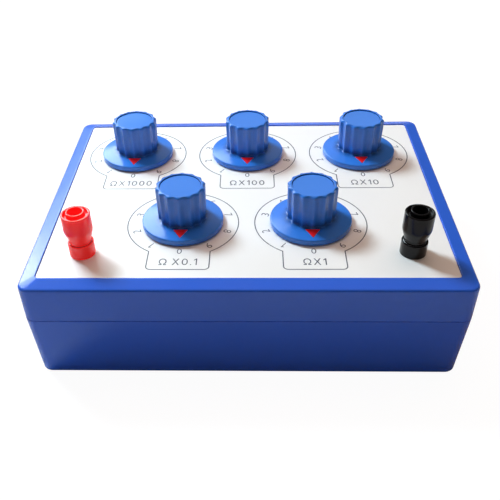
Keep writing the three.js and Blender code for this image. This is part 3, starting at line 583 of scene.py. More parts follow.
def scratch_mesh(shape):
    """Mesh made from a shape, which is used up."""
    mesh = bpy.data.meshes.new("Scratch")
    shape.to_mesh(mesh)
    shape.free()
    return mesh


def together(shapes):
    """One shape holding several that stand apart."""
    whole = bmesh.new()
    for shape in shapes:
        mesh = scratch_mesh(shape)
        whole.from_mesh(mesh)
        bpy.data.meshes.remove(mesh)
    return whole


def combined(first, second, operation):
    """The first shape joined with the second (UNION), cut by it (DIFFERENCE) or kept in it (INTERSECT)."""
    scratch = []
    for shape in (first, second):
        holder = bpy.data.objects.new("Scratch", scratch_mesh(shape))
        bpy.context.scene.collection.objects.link(holder)
        scratch.append(holder)
    modifier = scratch[0].modifiers.new("Shape", "BOOLEAN")
    modifier.object = scratch[1]
    modifier.operation = operation
    modifier.solver = "EXACT"
    bpy.context.view_layer.update()
    result = bmesh.new()
    result.from_object(scratch[0], bpy.context.evaluated_depsgraph_get())
    for holder in scratch:
        mesh = holder.data
        bpy.data.objects.remove(holder)
        bpy.data.meshes.remove(mesh)
    return closed_up(result)


def piece(name, bm, finish, body, slot=None, stands_for=(), place=(0, 0, 0), even_shading=True):
    """Make a shape a finished piece: put it in place, smooth it, give it its material and its body."""
    mesh = bpy.data.meshes.new(name)
    bm.to_mesh(mesh)
    mesh.transform(Matrix.Translation(place))
    mesh.shade_smooth()
    mesh.set_sharp_from_angle(angle=SHARP_ANGLE)
    mesh.materials.append(finish)
    made = bpy.data.objects.new(name, mesh)
    bpy.context.scene.collection.objects.link(made)
    if even_shading:
        modifier = made.modifiers.new("Even shading", "WEIGHTED_NORMAL")
        modifier.keep_sharp = True
    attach(made, body)
    if stands_for:
        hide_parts(*stands_for)


def on_every_dial(name, shape, finish, slot, node):
    """Put one shape on the turning body of each dial, where it stands for a node, and use it up."""
    for decade in DECADES:
        piece(f"{name}_{decade}", shape, finish, f"dial_{decade}", slot, [f"{node}_{decade}"],
              dial_place(decade))
    shape.free()


# Finishes

# Sizes of the spots in the patterns
CLOUD_SIZE = 28 * MM
PATCH_SIZE = 11 * MM
SWELL_SIZE = 6 * MM
RUB_SIZE = 3.5 * MM
# speckle of the painted shade in corners and grooves
SHADE_SPECK_SIZE = 2 * MM
STAIN_SIZE = 2.5 * MM

# How strongly the patterns show
SWELL_HEIGHT = 1.5  # against the grain's
EDGE_GAIN = 12.0  # how fast an edge's mask grows with its bend
# patches of the edge wear, which also carries the painted edge highlight
RUB_START = 0.35
RUB_CONTRAST = 2.5
SHADE_GAIN = 2.5  # how fast the painted shade grows as a corner closes
# least strength of the painted shade's patches, and how far they vary above it
SHADE_LEAST = 0.5
SHADE_SPREAD = 0.6
RING_DULLING = 0.18
RING_STRETCH = (0.08, 0.08, 1.0)  # draws the spots out sideways, so that they become rings

# The posts' plastics
BLACK_SHEEN = 0.3
# painted glow: the red plastic gives off a little light, though it is no lamp
RED_PAINTED_GLOW = (1.0, 0.02, 0.02, 1)
RED_PAINTED_GLOW_STRENGTH = 0.25
RED_SPREAD = 0.7  # share of the light that spreads inside
RED_SPREAD_RADII = (1.0, 0.25, 0.15)  # red light spreads widest
RED_SPREAD_REACH = 3 * MM


def shared_group(name, fill):
    """The shader group of that name, filled with its nodes when it is first asked for."""
    if name not in bpy.data.node_groups:
        fill(bpy.data.node_groups.new(name, "ShaderNodeTree"))
    return bpy.data.node_groups[name]


def group_ends(group, inputs, outputs):
    """Give a group its named sockets, and return its input and output nodes."""
    for name, default in inputs.items():
        kind = "NodeSocketColor" if name == "Color" else "NodeSocketFloat"
        group.interface.new_socket(name, in_out="INPUT", socket_type=kind).default_value = default
    for name in outputs:
        kind = "NodeSocketColor" if name == "Color" else "NodeSocketFloat"
        group.interface.new_socket(name, in_out="OUTPUT", socket_type=kind)
    return group.nodes.new("NodeGroupInput"), group.nodes.new("NodeGroupOutput")


def add_node(tree, kind, **values):
    """A node with its settings, and its inputs set from names that start with a capital."""
    made = tree.nodes.new(kind)
    for name, value in values.items():
        if name[0].isupper():
            made.inputs[name.replace("_", " ")].default_value = value
        else:
            setattr(made, name, value)
    return made


def maths(tree, operation, first, second, clamp=False):
    """A Math node between two sockets or numbers; gives its output."""
    made = tree.nodes.new("ShaderNodeMath")
    made.operation = operation
    made.use_clamp = clamp
    for socket, value in zip(made.inputs, (first, second)):
        if isinstance(value, (int, float)):
            socket.default_value = value
        else:
            tree.links.new(value, socket)
    return made.outputs[0]


def mixed(tree, factor, first, second):
    """Blend of two colours, each a socket or a plain colour; gives its output."""
    mix = tree.nodes.new("ShaderNodeMix")
    mix.data_type = "RGBA"
    tree.links.new(factor, mix.inputs["Factor"])
    colours = [socket for socket in mix.inputs if socket.type == "RGBA"]
    for socket, value in zip(colours, (first, second)):
        if isinstance(value, bpy.types.NodeSocket):
            tree.links.new(value, socket)
        else:
            socket.default_value = (*value, 1)
    return next(socket for socket in mix.outputs if socket.type == "RGBA")


def speckle(tree, coordinates, size, detail=2.0, roughness=0.5):
    """Noise with features of about that size in metres; gives its value from 0 to 1."""
    noise = add_node(tree, "ShaderNodeTexNoise", Detail=detail, Roughness=roughness)
    tree.links.new(coordinates, noise.inputs["Vector"])
    if isinstance(size, (int, float)):
        noise.inputs["Scale"].default_value = 1 / size
    else:
        tree.links.new(maths(tree, "DIVIDE", 1.0, size), noise.inputs["Scale"])
    return noise.outputs["Fac"]


def tinted(tree, color, factor):
    """A colour made lighter or darker by a factor."""
    scaled = add_node(tree, "ShaderNodeVectorMath", operation="SCALE")
    tree.links.new(color, scaled.inputs[0])
    tree.links.new(factor, scaled.inputs["Scale"])
    return scaled.outputs[0]


def moulded_surface(group):
    """Moulded plastic: cloudy colour, patches of duller gloss and the mould's fine grain."""
    inputs = {"Color": (0.5, 0.5, 0.5, 1), "Cloudiness": 0.06, "Roughness": 0.3, "Smudging": 0.12,
              "Grain size": 0.4 * MM}
    source, result = group_ends(group, inputs, ("Color", "Roughness", "Height"))
    place = add_node(group, "ShaderNodeTexCoord").outputs["Object"]
    clouds = speckle(group, place, CLOUD_SIZE, detail=3.0)
    drift = maths(group, "MULTIPLY", maths(group, "SUBTRACT", clouds, 0.5), source.outputs["Cloudiness"])
    cloudy = tinted(group, source.outputs["Color"], maths(group, "ADD", drift, 1.0))
    group.links.new(cloudy, result.inputs["Color"])
    patches = speckle(group, place, PATCH_SIZE, detail=4.0, roughness=0.6)
    dulling = maths(group, "MULTIPLY", maths(group, "SUBTRACT", patches, 0.5), source.outputs["Smudging"])
    smudged = maths(group, "ADD", source.outputs["Roughness"], dulling, clamp=True)
    group.links.new(smudged, result.inputs["Roughness"])
    grain = speckle(group, place, source.outputs["Grain size"], detail=1.0)
    swells = speckle(group, place, SWELL_SIZE, detail=1.0)
    relief = maths(group, "ADD", grain, maths(group, "MULTIPLY", swells, SWELL_HEIGHT))
    group.links.new(relief, result.inputs["Height"])


def worn_edges(group):
    """Mask of the edges: patchy rubbed wear, which also serves as a painted highlight along them."""
    source, result = group_ends(group, {"Width": 0.5 * MM, "Amount": 0.5}, ("Mask",))
    place = add_node(group, "ShaderNodeTexCoord").outputs["Object"]
    rounded = add_node(group, "ShaderNodeBevel", samples=4)
    group.links.new(source.outputs["Width"], rounded.inputs["Radius"])
    flat = add_node(group, "ShaderNodeNewGeometry").outputs["Normal"]
    facing = add_node(group, "ShaderNodeVectorMath", operation="DOT_PRODUCT")
    group.links.new(rounded.outputs["Normal"], facing.inputs[0])
    group.links.new(flat, facing.inputs[1])
    turned_away = maths(group, "SUBTRACT", 1.0, facing.outputs["Value"])
    bend = maths(group, "MULTIPLY", turned_away, EDGE_GAIN, clamp=True)
    broken = speckle(group, place, RUB_SIZE, detail=4.0, roughness=0.7)
    patchy = maths(group, "MULTIPLY", maths(group, "SUBTRACT", broken, RUB_START), RUB_CONTRAST, clamp=True)
    # edge wear and painted edge highlight in one mask
    wear_and_painted_light = maths(group, "MULTIPLY", maths(group, "MULTIPLY", bend, patchy), source.outputs["Amount"])
    group.links.new(wear_and_painted_light, result.inputs["Mask"])


def settled_grime(group):
    """Mask of painted shade, darkest in the corners and grooves where little light reaches, broken into
    patches.
    """
    source, result = group_ends(group, {"Width": 2 * MM, "Amount": 0.5}, ("Mask",))
    place = add_node(group, "ShaderNodeTexCoord").outputs["Object"]
    openness = add_node(group, "ShaderNodeAmbientOcclusion", samples=6, only_local=True)
    group.links.new(source.outputs["Width"], openness.inputs["Distance"])
    closed = maths(group, "SUBTRACT", 1.0, openness.outputs["AO"])
    hidden = maths(group, "MULTIPLY", closed, SHADE_GAIN, clamp=True)
    spots = speckle(group, place, SHADE_SPECK_SIZE, detail=3.0)
    patchy = maths(group, "ADD", maths(group, "MULTIPLY", spots, SHADE_SPREAD), SHADE_LEAST)
    # painted shade: darker where the corner closes in
    shade_mask = maths(group, "MULTIPLY", hidden, patchy, clamp=True)
    group.links.new(maths(group, "MULTIPLY", shade_mask, source.outputs["Amount"]), result.inputs["Mask"])


def turned_metal(group):
    """Lathe-turned metal: fine rings round an upright axis, with a slight tarnish."""
    inputs = {"Color": (0.7, 0.7, 0.7, 1), "Roughness": 0.25, "Tarnish": 0.25, "Ring size": 0.2 * MM}
    source, result = group_ends(group, inputs, ("Color", "Roughness", "Height"))
    place = add_node(group, "ShaderNodeTexCoord").outputs["Object"]
    squashed = add_node(group, "ShaderNodeMapping", Scale=RING_STRETCH)
    group.links.new(place, squashed.inputs["Vector"])
    rings = speckle(group, squashed.outputs["Vector"], source.outputs["Ring size"], detail=2.0)
    stains = speckle(group, place, STAIN_SIZE, detail=4.0, roughness=0.65)
    dark = maths(group, "MULTIPLY", stains, source.outputs["Tarnish"])
    tarnished = tinted(group, source.outputs["Color"], maths(group, "SUBTRACT", 1.0, dark))
    group.links.new(tarnished, result.inputs["Color"])
    dulling = maths(group, "MULTIPLY", maths(group, "ADD", rings, stains), RING_DULLING)
    dulled = maths(group, "ADD", source.outputs["Roughness"], dulling, clamp=True)
    group.links.new(dulled, result.inputs["Roughness"])
    group.links.new(rings, result.inputs["Height"])


def overlaid(tree, color, group, width, amount, tint):
    """A colour with a tint over it where a group's mask says."""
    mask = tree.nodes.new("ShaderNodeGroup")
    mask.node_tree = group
    mask.inputs["Width"].default_value = width
    mask.inputs["Amount"].default_value = amount
    return mixed(tree, mask.outputs["Mask"], color, tint)


def surface(name, group, color, values, bump, metallic=0.0, wear=None, grime=None):
    """Material with a group's colour, roughness and bump; edge wear with a painted highlight and the painted
    crevice shade are each (width, amount, colour).
    """
    if name in bpy.data.materials:
        return bpy.data.materials[name]
    made = bpy.data.materials.new(name)
    made.use_nodes = True
    tree = made.node_tree
    shader = tree.nodes["Principled BSDF"]
    shader.inputs["Metallic"].default_value = metallic
    pattern = tree.nodes.new("ShaderNodeGroup")
    pattern.node_tree = group
    pattern.inputs["Color"].default_value = (*color, 1)
    for socket_name, value in values.items():
        pattern.inputs[socket_name].default_value = value
    base_color = pattern.outputs["Color"]
    # edge wear, lightened, which also stands as a painted highlight along the edges
    if wear:
        base_color = overlaid(tree, base_color, shared_group("Worn edges", worn_edges), *wear)
    # painted shade, darkened into corners and grooves
    if grime:
        base_color = overlaid(tree, base_color, shared_group("Settled grime", settled_grime), *grime)
    tree.links.new(base_color, shader.inputs["Base Color"])
    tree.links.new(pattern.outputs["Roughness"], shader.inputs["Roughness"])
    relief = add_node(tree, "ShaderNodeBump", Strength=1.0, Distance=bump)
    tree.links.new(pattern.outputs["Height"], relief.inputs["Height"])
    tree.links.new(relief.outputs["Normal"], shader.inputs["Normal"])
    return made


def lighter(color, amount):
    """A colour brought that share of the way to white."""
    return tuple(channel + (1 - channel) * amount for channel in color)


def darker(color, amount):
    """A colour brought that share of the way to black."""
    return tuple(channel * (1 - amount) for channel in color)


def plastic(name, color, cloudiness, roughness, smudging, grain, bump, **wear_and_painted_light):
    """A moulded material, its grain's size and its bump's height given in millimetres."""
    values = {"Cloudiness": cloudiness, "Roughness": roughness, "Smudging": smudging,
              "Grain size": grain * MM}
    pattern = shared_group("Moulded surface", moulded_surface)
    return surface(name, pattern, color, values, bump=bump * MM, **wear_and_painted_light)


def metal(name, color, roughness, tarnish, rings, bump):
    """A turned or drawn metal, its rings' size and its bump's height given in millimetres."""
    values = {"Roughness": roughness, "Tarnish": tarnish, "Ring size": rings * MM}
    pattern = shared_group("Turned metal", turned_metal)
    return surface(name, pattern, color, values, bump=bump * MM, metallic=1.0)


def case_plastic():
    color = settings().finishes.case
    # edge wear, lightened, which also paints a highlight along the case's edges
    return plastic("Housing plastic", color, cloudiness=0.08, roughness=0.22, smudging=0.14, grain=0.5,
                   bump=0.012, wear=(0.4 * MM, 0.5, lighter(color, 0.3)))


def knob_plastic():
    color = settings().finishes.knob
    # edge wear that also paints a highlight along the edges, and painted shade in the flutes and round the
    # grip's foot
    return plastic("Knob plastic", color, cloudiness=0.06, roughness=0.2, smudging=0.1, grain=0.3,
                   bump=0.008, wear=(0.3 * MM, 0.5, lighter(color, 0.3)),
                   grime=(4 * MM, 1.0, darker(color, 0.8)))


def panel_sheet():
    return plastic("Panel sheet", settings().finishes.panel, cloudiness=0.015, roughness=0.42, smudging=0.1,
                   grain=0.2, bump=0.004)


def print_ink():
    return plastic("Print ink", settings().finishes.ink, cloudiness=0.5, roughness=0.55, smudging=0.2,
                   grain=0.2, bump=0.004)


def pointer_plastic():
    return plastic("Pointer plastic", settings().finishes.pointer, cloudiness=0.1, roughness=0.35,
                   smudging=0.2, grain=0.3, bump=0.01)


def post_color(post):
    return settings().finishes.post_red if post == "red" else settings().finishes.post_black


def post_plastic(post):
    """Plastic of a post; light spreads in the red one, and a weak painted glow of its own makes it brighter
    than the lamps do.
    """
    made = plastic(f"Post plastic {post}", post_color(post), cloudiness=0.1, roughness=0.2, smudging=0.14,
                   grain=0.3, bump=0.006)
    shader = made.node_tree.nodes["Principled BSDF"]
    if post == "black":
        shader.inputs["Specular IOR Level"].default_value = BLACK_SHEEN
    else:
        # painted glow, which brightens the red plastic beyond the lamps' light
        shader.inputs["Emission Color"].default_value = RED_PAINTED_GLOW
        shader.inputs["Emission Strength"].default_value = RED_PAINTED_GLOW_STRENGTH
        shader.inputs["Subsurface Weight"].default_value = RED_SPREAD
        shader.inputs["Subsurface Radius"].default_value = RED_SPREAD_RADII
        shader.inputs["Subsurface Scale"].default_value = RED_SPREAD_REACH
    return made


def lead_rubber(post):
    return plastic(f"Lead insulation {post}", post_color(post), cloudiness=0.2, roughness=0.5, smudging=0.2,
                   grain=0.4, bump=0.01)


def lacquer(name):
    """Lacquer of the resistors' bodies or of one of their bands."""
    return plastic(f"Resistor lacquer {name}", getattr(settings().finishes, name), cloudiness=0.15,
                   roughness=0.32, smudging=0.15, grain=0.4, bump=0.01)


def phenolic():
    return plastic("Phenolic", settings().finishes.phenolic, cloudiness=0.5, roughness=0.5, smudging=0.2,
                   grain=0.4, bump=0.015)


def board_laminate():
    return plastic("Board laminate", settings().finishes.board, cloudiness=0.25, roughness=0.38, smudging=0.2,
                   grain=0.6, bump=0.02)


def foil_copper():
    return metal("Copper foil", settings().finishes.foil, roughness=0.3, tarnish=0.4, rings=0.4, bump=0.003)


def solder():
    return metal("Solder", settings().finishes.solder, roughness=0.28, tarnish=0.25, rings=0.6, bump=0.01)


def brass():
    return metal("Turned brass", settings().finishes.brass, roughness=0.18, tarnish=0.35, rings=0.25,
                 bump=0.006)


def nickel():
    return metal("Nickel plate", settings().finishes.nickel, roughness=0.12, tarnish=0.2, rings=0.3,
                 bump=0.004)


def steel():
    return metal("Zinc-plated steel", settings().finishes.steel, roughness=0.25, tarnish=0.3, rings=0.25,
                 bump=0.006)


# Case

def case_ring(case, inset, height, radius):
    """Level of a rounded block: the case's outline, drawn in by an inset."""
    return (case.half_width - inset, case.half_depth - inset, radius, height)


def top_holes(case):
    """Tools that open the holes for the bushes and the posts through the panel and the top wall."""
    bottom = case.panel_height - (case.panel_thickness + case.top_wall + OVERCUT)
    top = case.panel_height + OVERCUT
    holes = [(dial_place(decade), case.bush_hole) for decade in DECADES]
    holes += [(post_place(post), case.post_hole) for post in POSTS]
    return [pin(radius, bottom, top, place=(place.x, place.y, 0)) for place, radius in holes]


class RESBOX_OT_upper_shell(bpy.types.Operator):
    """Build the upper shell with its rim, the panel's seat and the screw bosses"""
    bl_idname = "resbox.upper_shell"
    bl_label = "Upper Shell"

    def execute(self, context):
        case = settings().case
        rim_start = case.panel_height - case.rim_start_drop
        lip_height = case.panel_height + case.lip_rise
        seat = case.panel_height - case.panel_thickness
        ceiling = seat - case.top_wall
        flare = case.seam_flare
        rebate = case.wall - case.tongue_wall - case.tongue_fit - flare
        rebate_top = case.seam_height + case.tongue_height + case.tongue_fit
        joint_height = case.seam_height + case.seam_gap
        inside = softened([
            (case.wall, ceiling, 0),
            (case.wall, rebate_top, 0),
            (rebate, rebate_top, 0),
            (rebate, joint_height, 0),
            (-flare, joint_height, case.seam_round),
            (0, rim_start, case.edge_round),
            (case.rim_width - case.lip_width, lip_height, case.lip_round),
            (case.rim_width, lip_height, case.lip_round),
            (case.rim_width, seat, 0),
        ], steps=6)
        levels = []
        for inset, height in inside:
            on_rim = inset > case.edge_round and height > rim_start
            if on_rim or inset > case.rim_width - case.lip_width * 2:
                radius = case.panel_corner + case.rim_width - inset
            elif inset > case.edge_round:
                radius = case.inner_radius
            else:
                radius = case.corner_radius - inset
            if height < rim_start - case.edge_round and inset > rebate + case.tongue_fit:
                radius = case.inner_radius
            levels.append(case_ring(case, inset, height, radius))
        shell = rounded_block(levels, case.corner_steps)
        places = [screw_place(corner) for corner in CORNERS]
        bosses = [pin(case.upper_boss, case.boss_split, ceiling + OVERCUT, place=place) for place in places]
        shell = combined(shell, together(bosses), "UNION")
        holes = [pin(case.screw_hole, case.boss_split - OVERCUT, case.pilot_top, place=place)
                 for place in places]
        holes += top_holes(case)
        shell = combined(shell, together(holes), "DIFFERENCE")
        piece("upper_shell_moulding", shell, case_plastic(), "case", "case_plastic", ["upper_shell"])
        return {"FINISHED"}


class RESBOX_OT_lower_shell(bpy.types.Operator):
    """Build the lower shell with its tongue, floor and screw bosses"""
    bl_idname = "resbox.lower_shell"
    bl_label = "Lower Shell"

    def execute(self, context):
        case = settings().case
        flare = case.seam_flare
        tongue = case.wall - case.tongue_wall - flare
        tongue_top = case.seam_height + case.tongue_height
        inner_top = case.wall - flare
        profile = softened([
            (case.base_draw_in + case.base_round * 2, 0, 0),
            (case.base_draw_in, 0, case.base_round),
            (-flare, case.seam_height, case.seam_round),
            (tongue, case.seam_height, 0),
            (tongue, tongue_top, case.seam_round),
            (inner_top, tongue_top, case.seam_round),
            (inner_top, case.seam_height, 0),
            (case.base_draw_in + case.wall, case.floor, 0),
        ], steps=4)
        levels = []
        for inset, height in profile:
            if inset > inner_top - HAIR and height > 0:
                radius = case.inner_radius
            elif height >= case.seam_height:
                radius = case.corner_radius - inset
            else:
                radius = case.corner_radius - max(inset - case.base_draw_in, 0)
            levels.append(case_ring(case, inset, height, radius))
        shell = rounded_block(levels, case.corner_steps)
        places = [screw_place(corner) for corner in CORNERS]
        bosses = [pin(case.lower_boss, case.floor - OVERCUT, case.boss_split, place=place)
                  for place in places]
        shell = combined(shell, together(bosses), "UNION")
        low, high = case.counterbore_depth - OVERCUT, case.boss_split + OVERCUT
        holes = [pin(case.screw_hole, low, high, place=place) for place in places]
        shell = combined(shell, together(holes), "DIFFERENCE")
        recesses = [pin(case.counterbore, -OVERCUT, case.counterbore_depth, place=place) for place in places]
        shell = combined(shell, together(recesses), "DIFFERENCE")
        piece("lower_shell_moulding", shell, case_plastic(), "case", "case_plastic", ["lower_shell"])
        return {"FINISHED"}


class RESBOX_OT_face_panel(bpy.types.Operator):
    """Build the white face panel with its holes"""
    bl_idname = "resbox.face_panel"
    bl_label = "Face Panel"

    def execute(self, context):
        case = settings().case
        inset = case.rim_width + case.panel_fit
        radius = case.panel_corner - case.panel_fit
        edge = case.panel_edge
        profile = softened([
            (inset, case.panel_height - case.panel_thickness, 0),
            (inset, case.panel_height, edge),
            (inset + edge * 2, case.panel_height, 0),
        ], steps=3)
        levels = [case_ring(case, across, height, radius + inset - across) for across, height in profile]
        sheet = rounded_block(levels, case.corner_steps)
        sheet = combined(sheet, together(top_holes(case)), "DIFFERENCE")
        piece("face_panel_sheet", sheet, panel_sheet(), "case", "panel_print", ["face_panel"])
        return {"FINISHED"}


# Print on the panel

def keyhole(sizes, margin, bottom, top):
    """A dial's circle with the tab for its label, grown by a margin."""
    disc = pin(sizes.circle_radius + margin, bottom, top, steps=144)
    half_width = sizes.tab_half_width + margin
    half_length = (sizes.tab_end + margin) / 2
    corner = sizes.tab_corner + margin
    tab = rounded_block([(half_width, half_length, corner, height) for height in (bottom, top)],
                        corner_steps=6)
    return combined(disc, shifted(tab, 0, -half_length, 0), "UNION")


def dial_outline(sizes):
    """A dial's printed line, the rim of its keyhole."""
    half_line = sizes.line_width / 2
    outer = keyhole(sizes, half_line, -sizes.ink, sizes.ink)
    inner = keyhole(sizes, -half_line, -sizes.ink * 2, sizes.ink * 2)
    return combined(outer, inner, "DIFFERENCE")


def stroke_of(height):
    return STROKE * height


def figure_one(height, thickness):
    """The figure 1, a stem with a short flag."""
    half_width = height * LETTER_SHAPES["1"] / 2
    half_height = height / 2
    stroke = stroke_of(height)
    upper, lower, root = (half_height - stroke * drop for drop in FLAG)
    stem = half_width - stroke
    corners = [(half_width, -half_height), (half_width, half_height), (stem, half_height),
               (-half_width, upper), (-half_width, lower), (stem, root), (stem, -half_height)]
    bm = bmesh.new()
    face = bm.faces.new([bm.verts.new((across, up, -thickness / 2)) for across, up in corners])
    pulled(bm, face, lambda corner: Vector((corner.x, corner.y, thickness / 2)))
    return closed_up(bm)


def full_stop(height, thickness):
    """A square dot on the line that letters stand on."""
    stroke = stroke_of(height)
    bm = bmesh.new()
    bmesh.ops.create_cube(bm, size=1)
    bmesh.ops.scale(bm, verts=bm.verts[:], vec=(stroke, stroke, thickness))
    return shifted(bm, 0, (stroke - height) / 2, 0)


def letter(text, height, thickness):
    """One raised letter, its middle at the origin."""
    if text == "1":
        return figure_one(height, thickness)
    if text == ".":
        return full_stop(height, thickness)
    curve = bpy.data.curves.new("Lettering", "FONT")
    curve.body = text
    curve.extrude = 0.1
    curve.offset = DIGIT_THINNING if text.isdigit() else 0
    curve.resolution_u = 3
    bm = shape_of(curve)
    corners = [vertex.co for vertex in bm.verts]
    low = Vector([min(co[axis] for co in corners) for axis in range(3)])
    high = Vector([max(co[axis] for co in corners) for axis in range(3)])
    size = high - low
    width = letter_width(text, height)
    bmesh.ops.translate(bm, verts=bm.verts[:], vec=-(low + high) / 2)
    bmesh.ops.scale(bm, verts=bm.verts[:], vec=(width / size.x, height / size.y, thickness / size.z))
    return closed_up(bm)


def letter_width(text, height):
    if text == ".":
        return stroke_of(height)
    return height * LETTER_SHAPES.get(text, DIGIT_SHAPE)


def label(text, sizes):
    """A row of letters, its middle at the origin."""
    letters = []
    reach = 0
    for character in text:
        if character == " ":
            reach += sizes.word_gap
            continue
        width = letter_width(character, sizes.label_height)
        shape = letter(character, sizes.label_height, sizes.ink * 2)
        letters.append(shifted(shape, reach + width / 2, 0, 0))
        reach += width + sizes.letter_gap
    return shifted(together(letters), (sizes.letter_gap - reach) / 2, 0, 0)


class RESBOX_OT_panel_print(bpy.types.Operator):
    """Print each dial's line, figures and label on the panel"""
    bl_idname = "resbox.panel_print"
    bl_label = "Panel Print"

    def execute(self, context):
        sizes = settings().print
        ink = print_ink()
        outline = dial_outline(sizes)
        for decade in DECADES:
            place = dial_place(decade)
            piece(f"dial_line_{decade}", outline, ink, "case", place=place, even_shading=False)
            marks = []
            for figure in range(FIGURES):
                direction = -math.pi / 2 - figure * FULL_TURN / FIGURES
                mark = letter(str(figure), sizes.figure_height, sizes.ink * 2)
                turn = Matrix.Rotation(direction - math.pi / 2, 4, "Z")
                spot = Vector((math.cos(direction), math.sin(direction), 0)) * sizes.figure_radius
                marks.append(moved(mark, Matrix.Translation(spot) @ turn))
            marks.append(shifted(label(LABELS[decade], sizes), 0, -sizes.label_radius, 0))
            whole = together(marks)
            piece(f"dial_figures_{decade}", whole, ink, "case", place=place, even_shading=False)
            whole.free()
        outline.free()
        return {"FINISHED"}


# Dials

FLUTE_FULLNESS = 0.75  # under 1, so that the flutes are wide and the crests between them narrow
FLUTE_FADE = 0.35 * MM  # from the grip's crests at the top to where the flutes have their full depth


def skirt_height(knob, radius):
    """Height of the skirt's cone at a radius, from the panel's face."""
    edge = knob.skirt_radius - knob.edge_round
    slope = (knob.centre_height - knob.edge_height) / (edge - knob.grip_base_radius)
    return knob.edge_height + slope * (edge - radius)


def knob_shape(knob):
    """One moulding: bore, hollow, skirt, fluted grip, ring and pocket, in one run from inside to top."""
    cone_end = knob.grip_base_radius + 2 * MM
    fillet_start = knob.grip_base_radius + knob.root_round * 2
    body = softened([
        (knob.bore_radius, knob.bore_top, 0),
        (knob.bore_radius, knob.hollow_height, 0.3 * MM),
        (knob.hollow_radius, knob.hollow_height, 0.3 * MM),
        (knob.hollow_radius, knob.clearance, 0),
        (knob.skirt_radius, knob.clearance, knob.foot_round),
        (knob.skirt_radius, knob.edge_height, knob.edge_round),
        (cone_end, skirt_height(knob, cone_end), 0),
    ])
    grip = softened([
        (fillet_start, skirt_height(knob, fillet_start), 0),
        (knob.grip_base_radius, skirt_height(knob, knob.grip_base_radius), knob.root_round),
        (knob.grip_top_radius, knob.height - knob.shoulder_drop, knob.shoulder_round),
        (knob.ring_radius, knob.height, 0.2 * MM),
        (knob.pocket_radius, knob.height, 0.15 * MM),
        (knob.pocket_radius, knob.pocket_floor, 0),
    ], steps=6)
    full_depth_radius = knob.grip_top_radius - FLUTE_FADE

    def fluting(radius):
        """How deep the flutes are: full on the grip's side, none on the ring round the cap."""
        return min(max((radius - knob.ring_radius) / (full_depth_radius - knob.ring_radius), 0), 1)

    levels = [(*level, 0) for level in body] + [(*level, fluting(level[0])) for level in grip]
    segments = knob.flutes * knob.flute_steps
    bm = bmesh.new()
    bmesh.ops.create_circle(bm, cap_ends=True, segments=segments, radius=knob.bore_radius)
    face = bm.faces[:][0]

    def ring(level):
        radius, height, fluted = level

        def move(place):
            heading = math.atan2(place.y, place.x)
            hollow = ((1 - math.cos(knob.flutes * (heading + math.pi / 2))) / 2) ** FLUTE_FULLNESS
            reach = radius - knob.flute_depth * fluted * hollow
            return Vector((reach * math.cos(heading), reach * math.sin(heading), height))
        return move

    for vertex in face.verts:
        vertex.co = ring(levels[0])(vertex.co)
    for level in levels[1:]:
        face = pulled(bm, face, ring(level))
    return closed_up(bm)


def wedge(knob, grow, bottom, top):
    """The pointer's triangle between two heights, grown by a gap all round."""
    bm = bmesh.new()
    corners = [(-knob.pointer_half_width - grow, -knob.pointer_base + grow, bottom),
               (0, -knob.pointer_tip - grow, bottom),
               (knob.pointer_half_width + grow, -knob.pointer_base + grow, bottom)]
    face = bm.faces.new([bm.verts.new(corner) for corner in corners])
    pulled(bm, face, lambda place: Vector((place.x, place.y, top)))
    return closed_up(bm)


class RESBOX_OT_knobs(bpy.types.Operator):
    """Build the five fluted knobs with their skirts"""
    bl_idname = "resbox.knobs"
    bl_label = "Knobs"

    def execute(self, context):
        knob = settings().knob
        shape = knob_shape(knob)
        pocket = wedge(knob, knob.pointer_fit, knob.pointer_floor, knob.centre_height + OVERCUT)
        shape = combined(shape, pocket, "DIFFERENCE")
        drill = pin(knob.grub_hole, 0, knob.grip_top_radius + OVERCUT, steps=24)
        lying = Matrix.Rotation(-math.pi / 2, 4, "X")
        drill = shifted(moved(drill, lying), 0, 0, knob.grub_height)
        shape = combined(shape, drill, "DIFFERENCE")
        on_every_dial("knob_moulding", shape, knob_plastic(), "knob_plastic", "knob")
        return {"FINISHED"}


class RESBOX_OT_knob_caps(bpy.types.Operator):
    """Build the discs let into the knobs' tops"""
    bl_idname = "resbox.knob_caps"
    bl_label = "Knob Caps"

    def execute(self, context):
        knob = settings().knob
        levels = softened([
            (0, knob.pocket_floor, 0),
            (knob.cap_radius, knob.pocket_floor, 0),
            (knob.cap_radius, knob.cap_height, knob.cap_round),
            (knob.cap_radius - 1.2 * MM, knob.cap_height - knob.cap_dish * 0.3, 0),
            (knob.cap_radius * 0.5, knob.cap_height - knob.cap_dish * 0.9, 0),
            (0, knob.cap_height - knob.cap_dish, 0),
        ])
        on_every_dial("knob_disc", turned(levels, steps=96), knob_plastic(), "knob_plastic", "knob_cap")
        return {"FINISHED"}


class RESBOX_OT_pointers(bpy.types.Operator):
    """Build the red wedges let into the skirts"""
    bl_idname = "resbox.pointers"
    bl_label = "Pointers"

    def execute(self, context):
        knob = settings().knob
        shape = wedge(knob, 0, knob.pointer_floor, knob.centre_height + OVERCUT)
        middle = (knob.pointer_floor + knob.edge_height) / 2
        for vertex in shape.verts:
            if vertex.co.z > middle:
                vertex.co.z = skirt_height(knob, vertex.co.xy.length) + knob.pointer_proud
        top_edges = [edge for edge in shape.edges if min(corner.co.z for corner in edge.verts) > middle]
        bmesh.ops.bevel(shape, geom=top_edges, offset=knob.pointer_round, offset_type="OFFSET", segments=3,
                        profile=0.5, affect="EDGES", material=-1)
        on_every_dial("pointer_wedge", closed_up(shape), pointer_plastic(), "pointer_red", "pointer")
        return {"FINISHED"}


# Binding posts

STUD_CHAMFER = 0.4 * MM  # height of the chamfer over the stud's thread


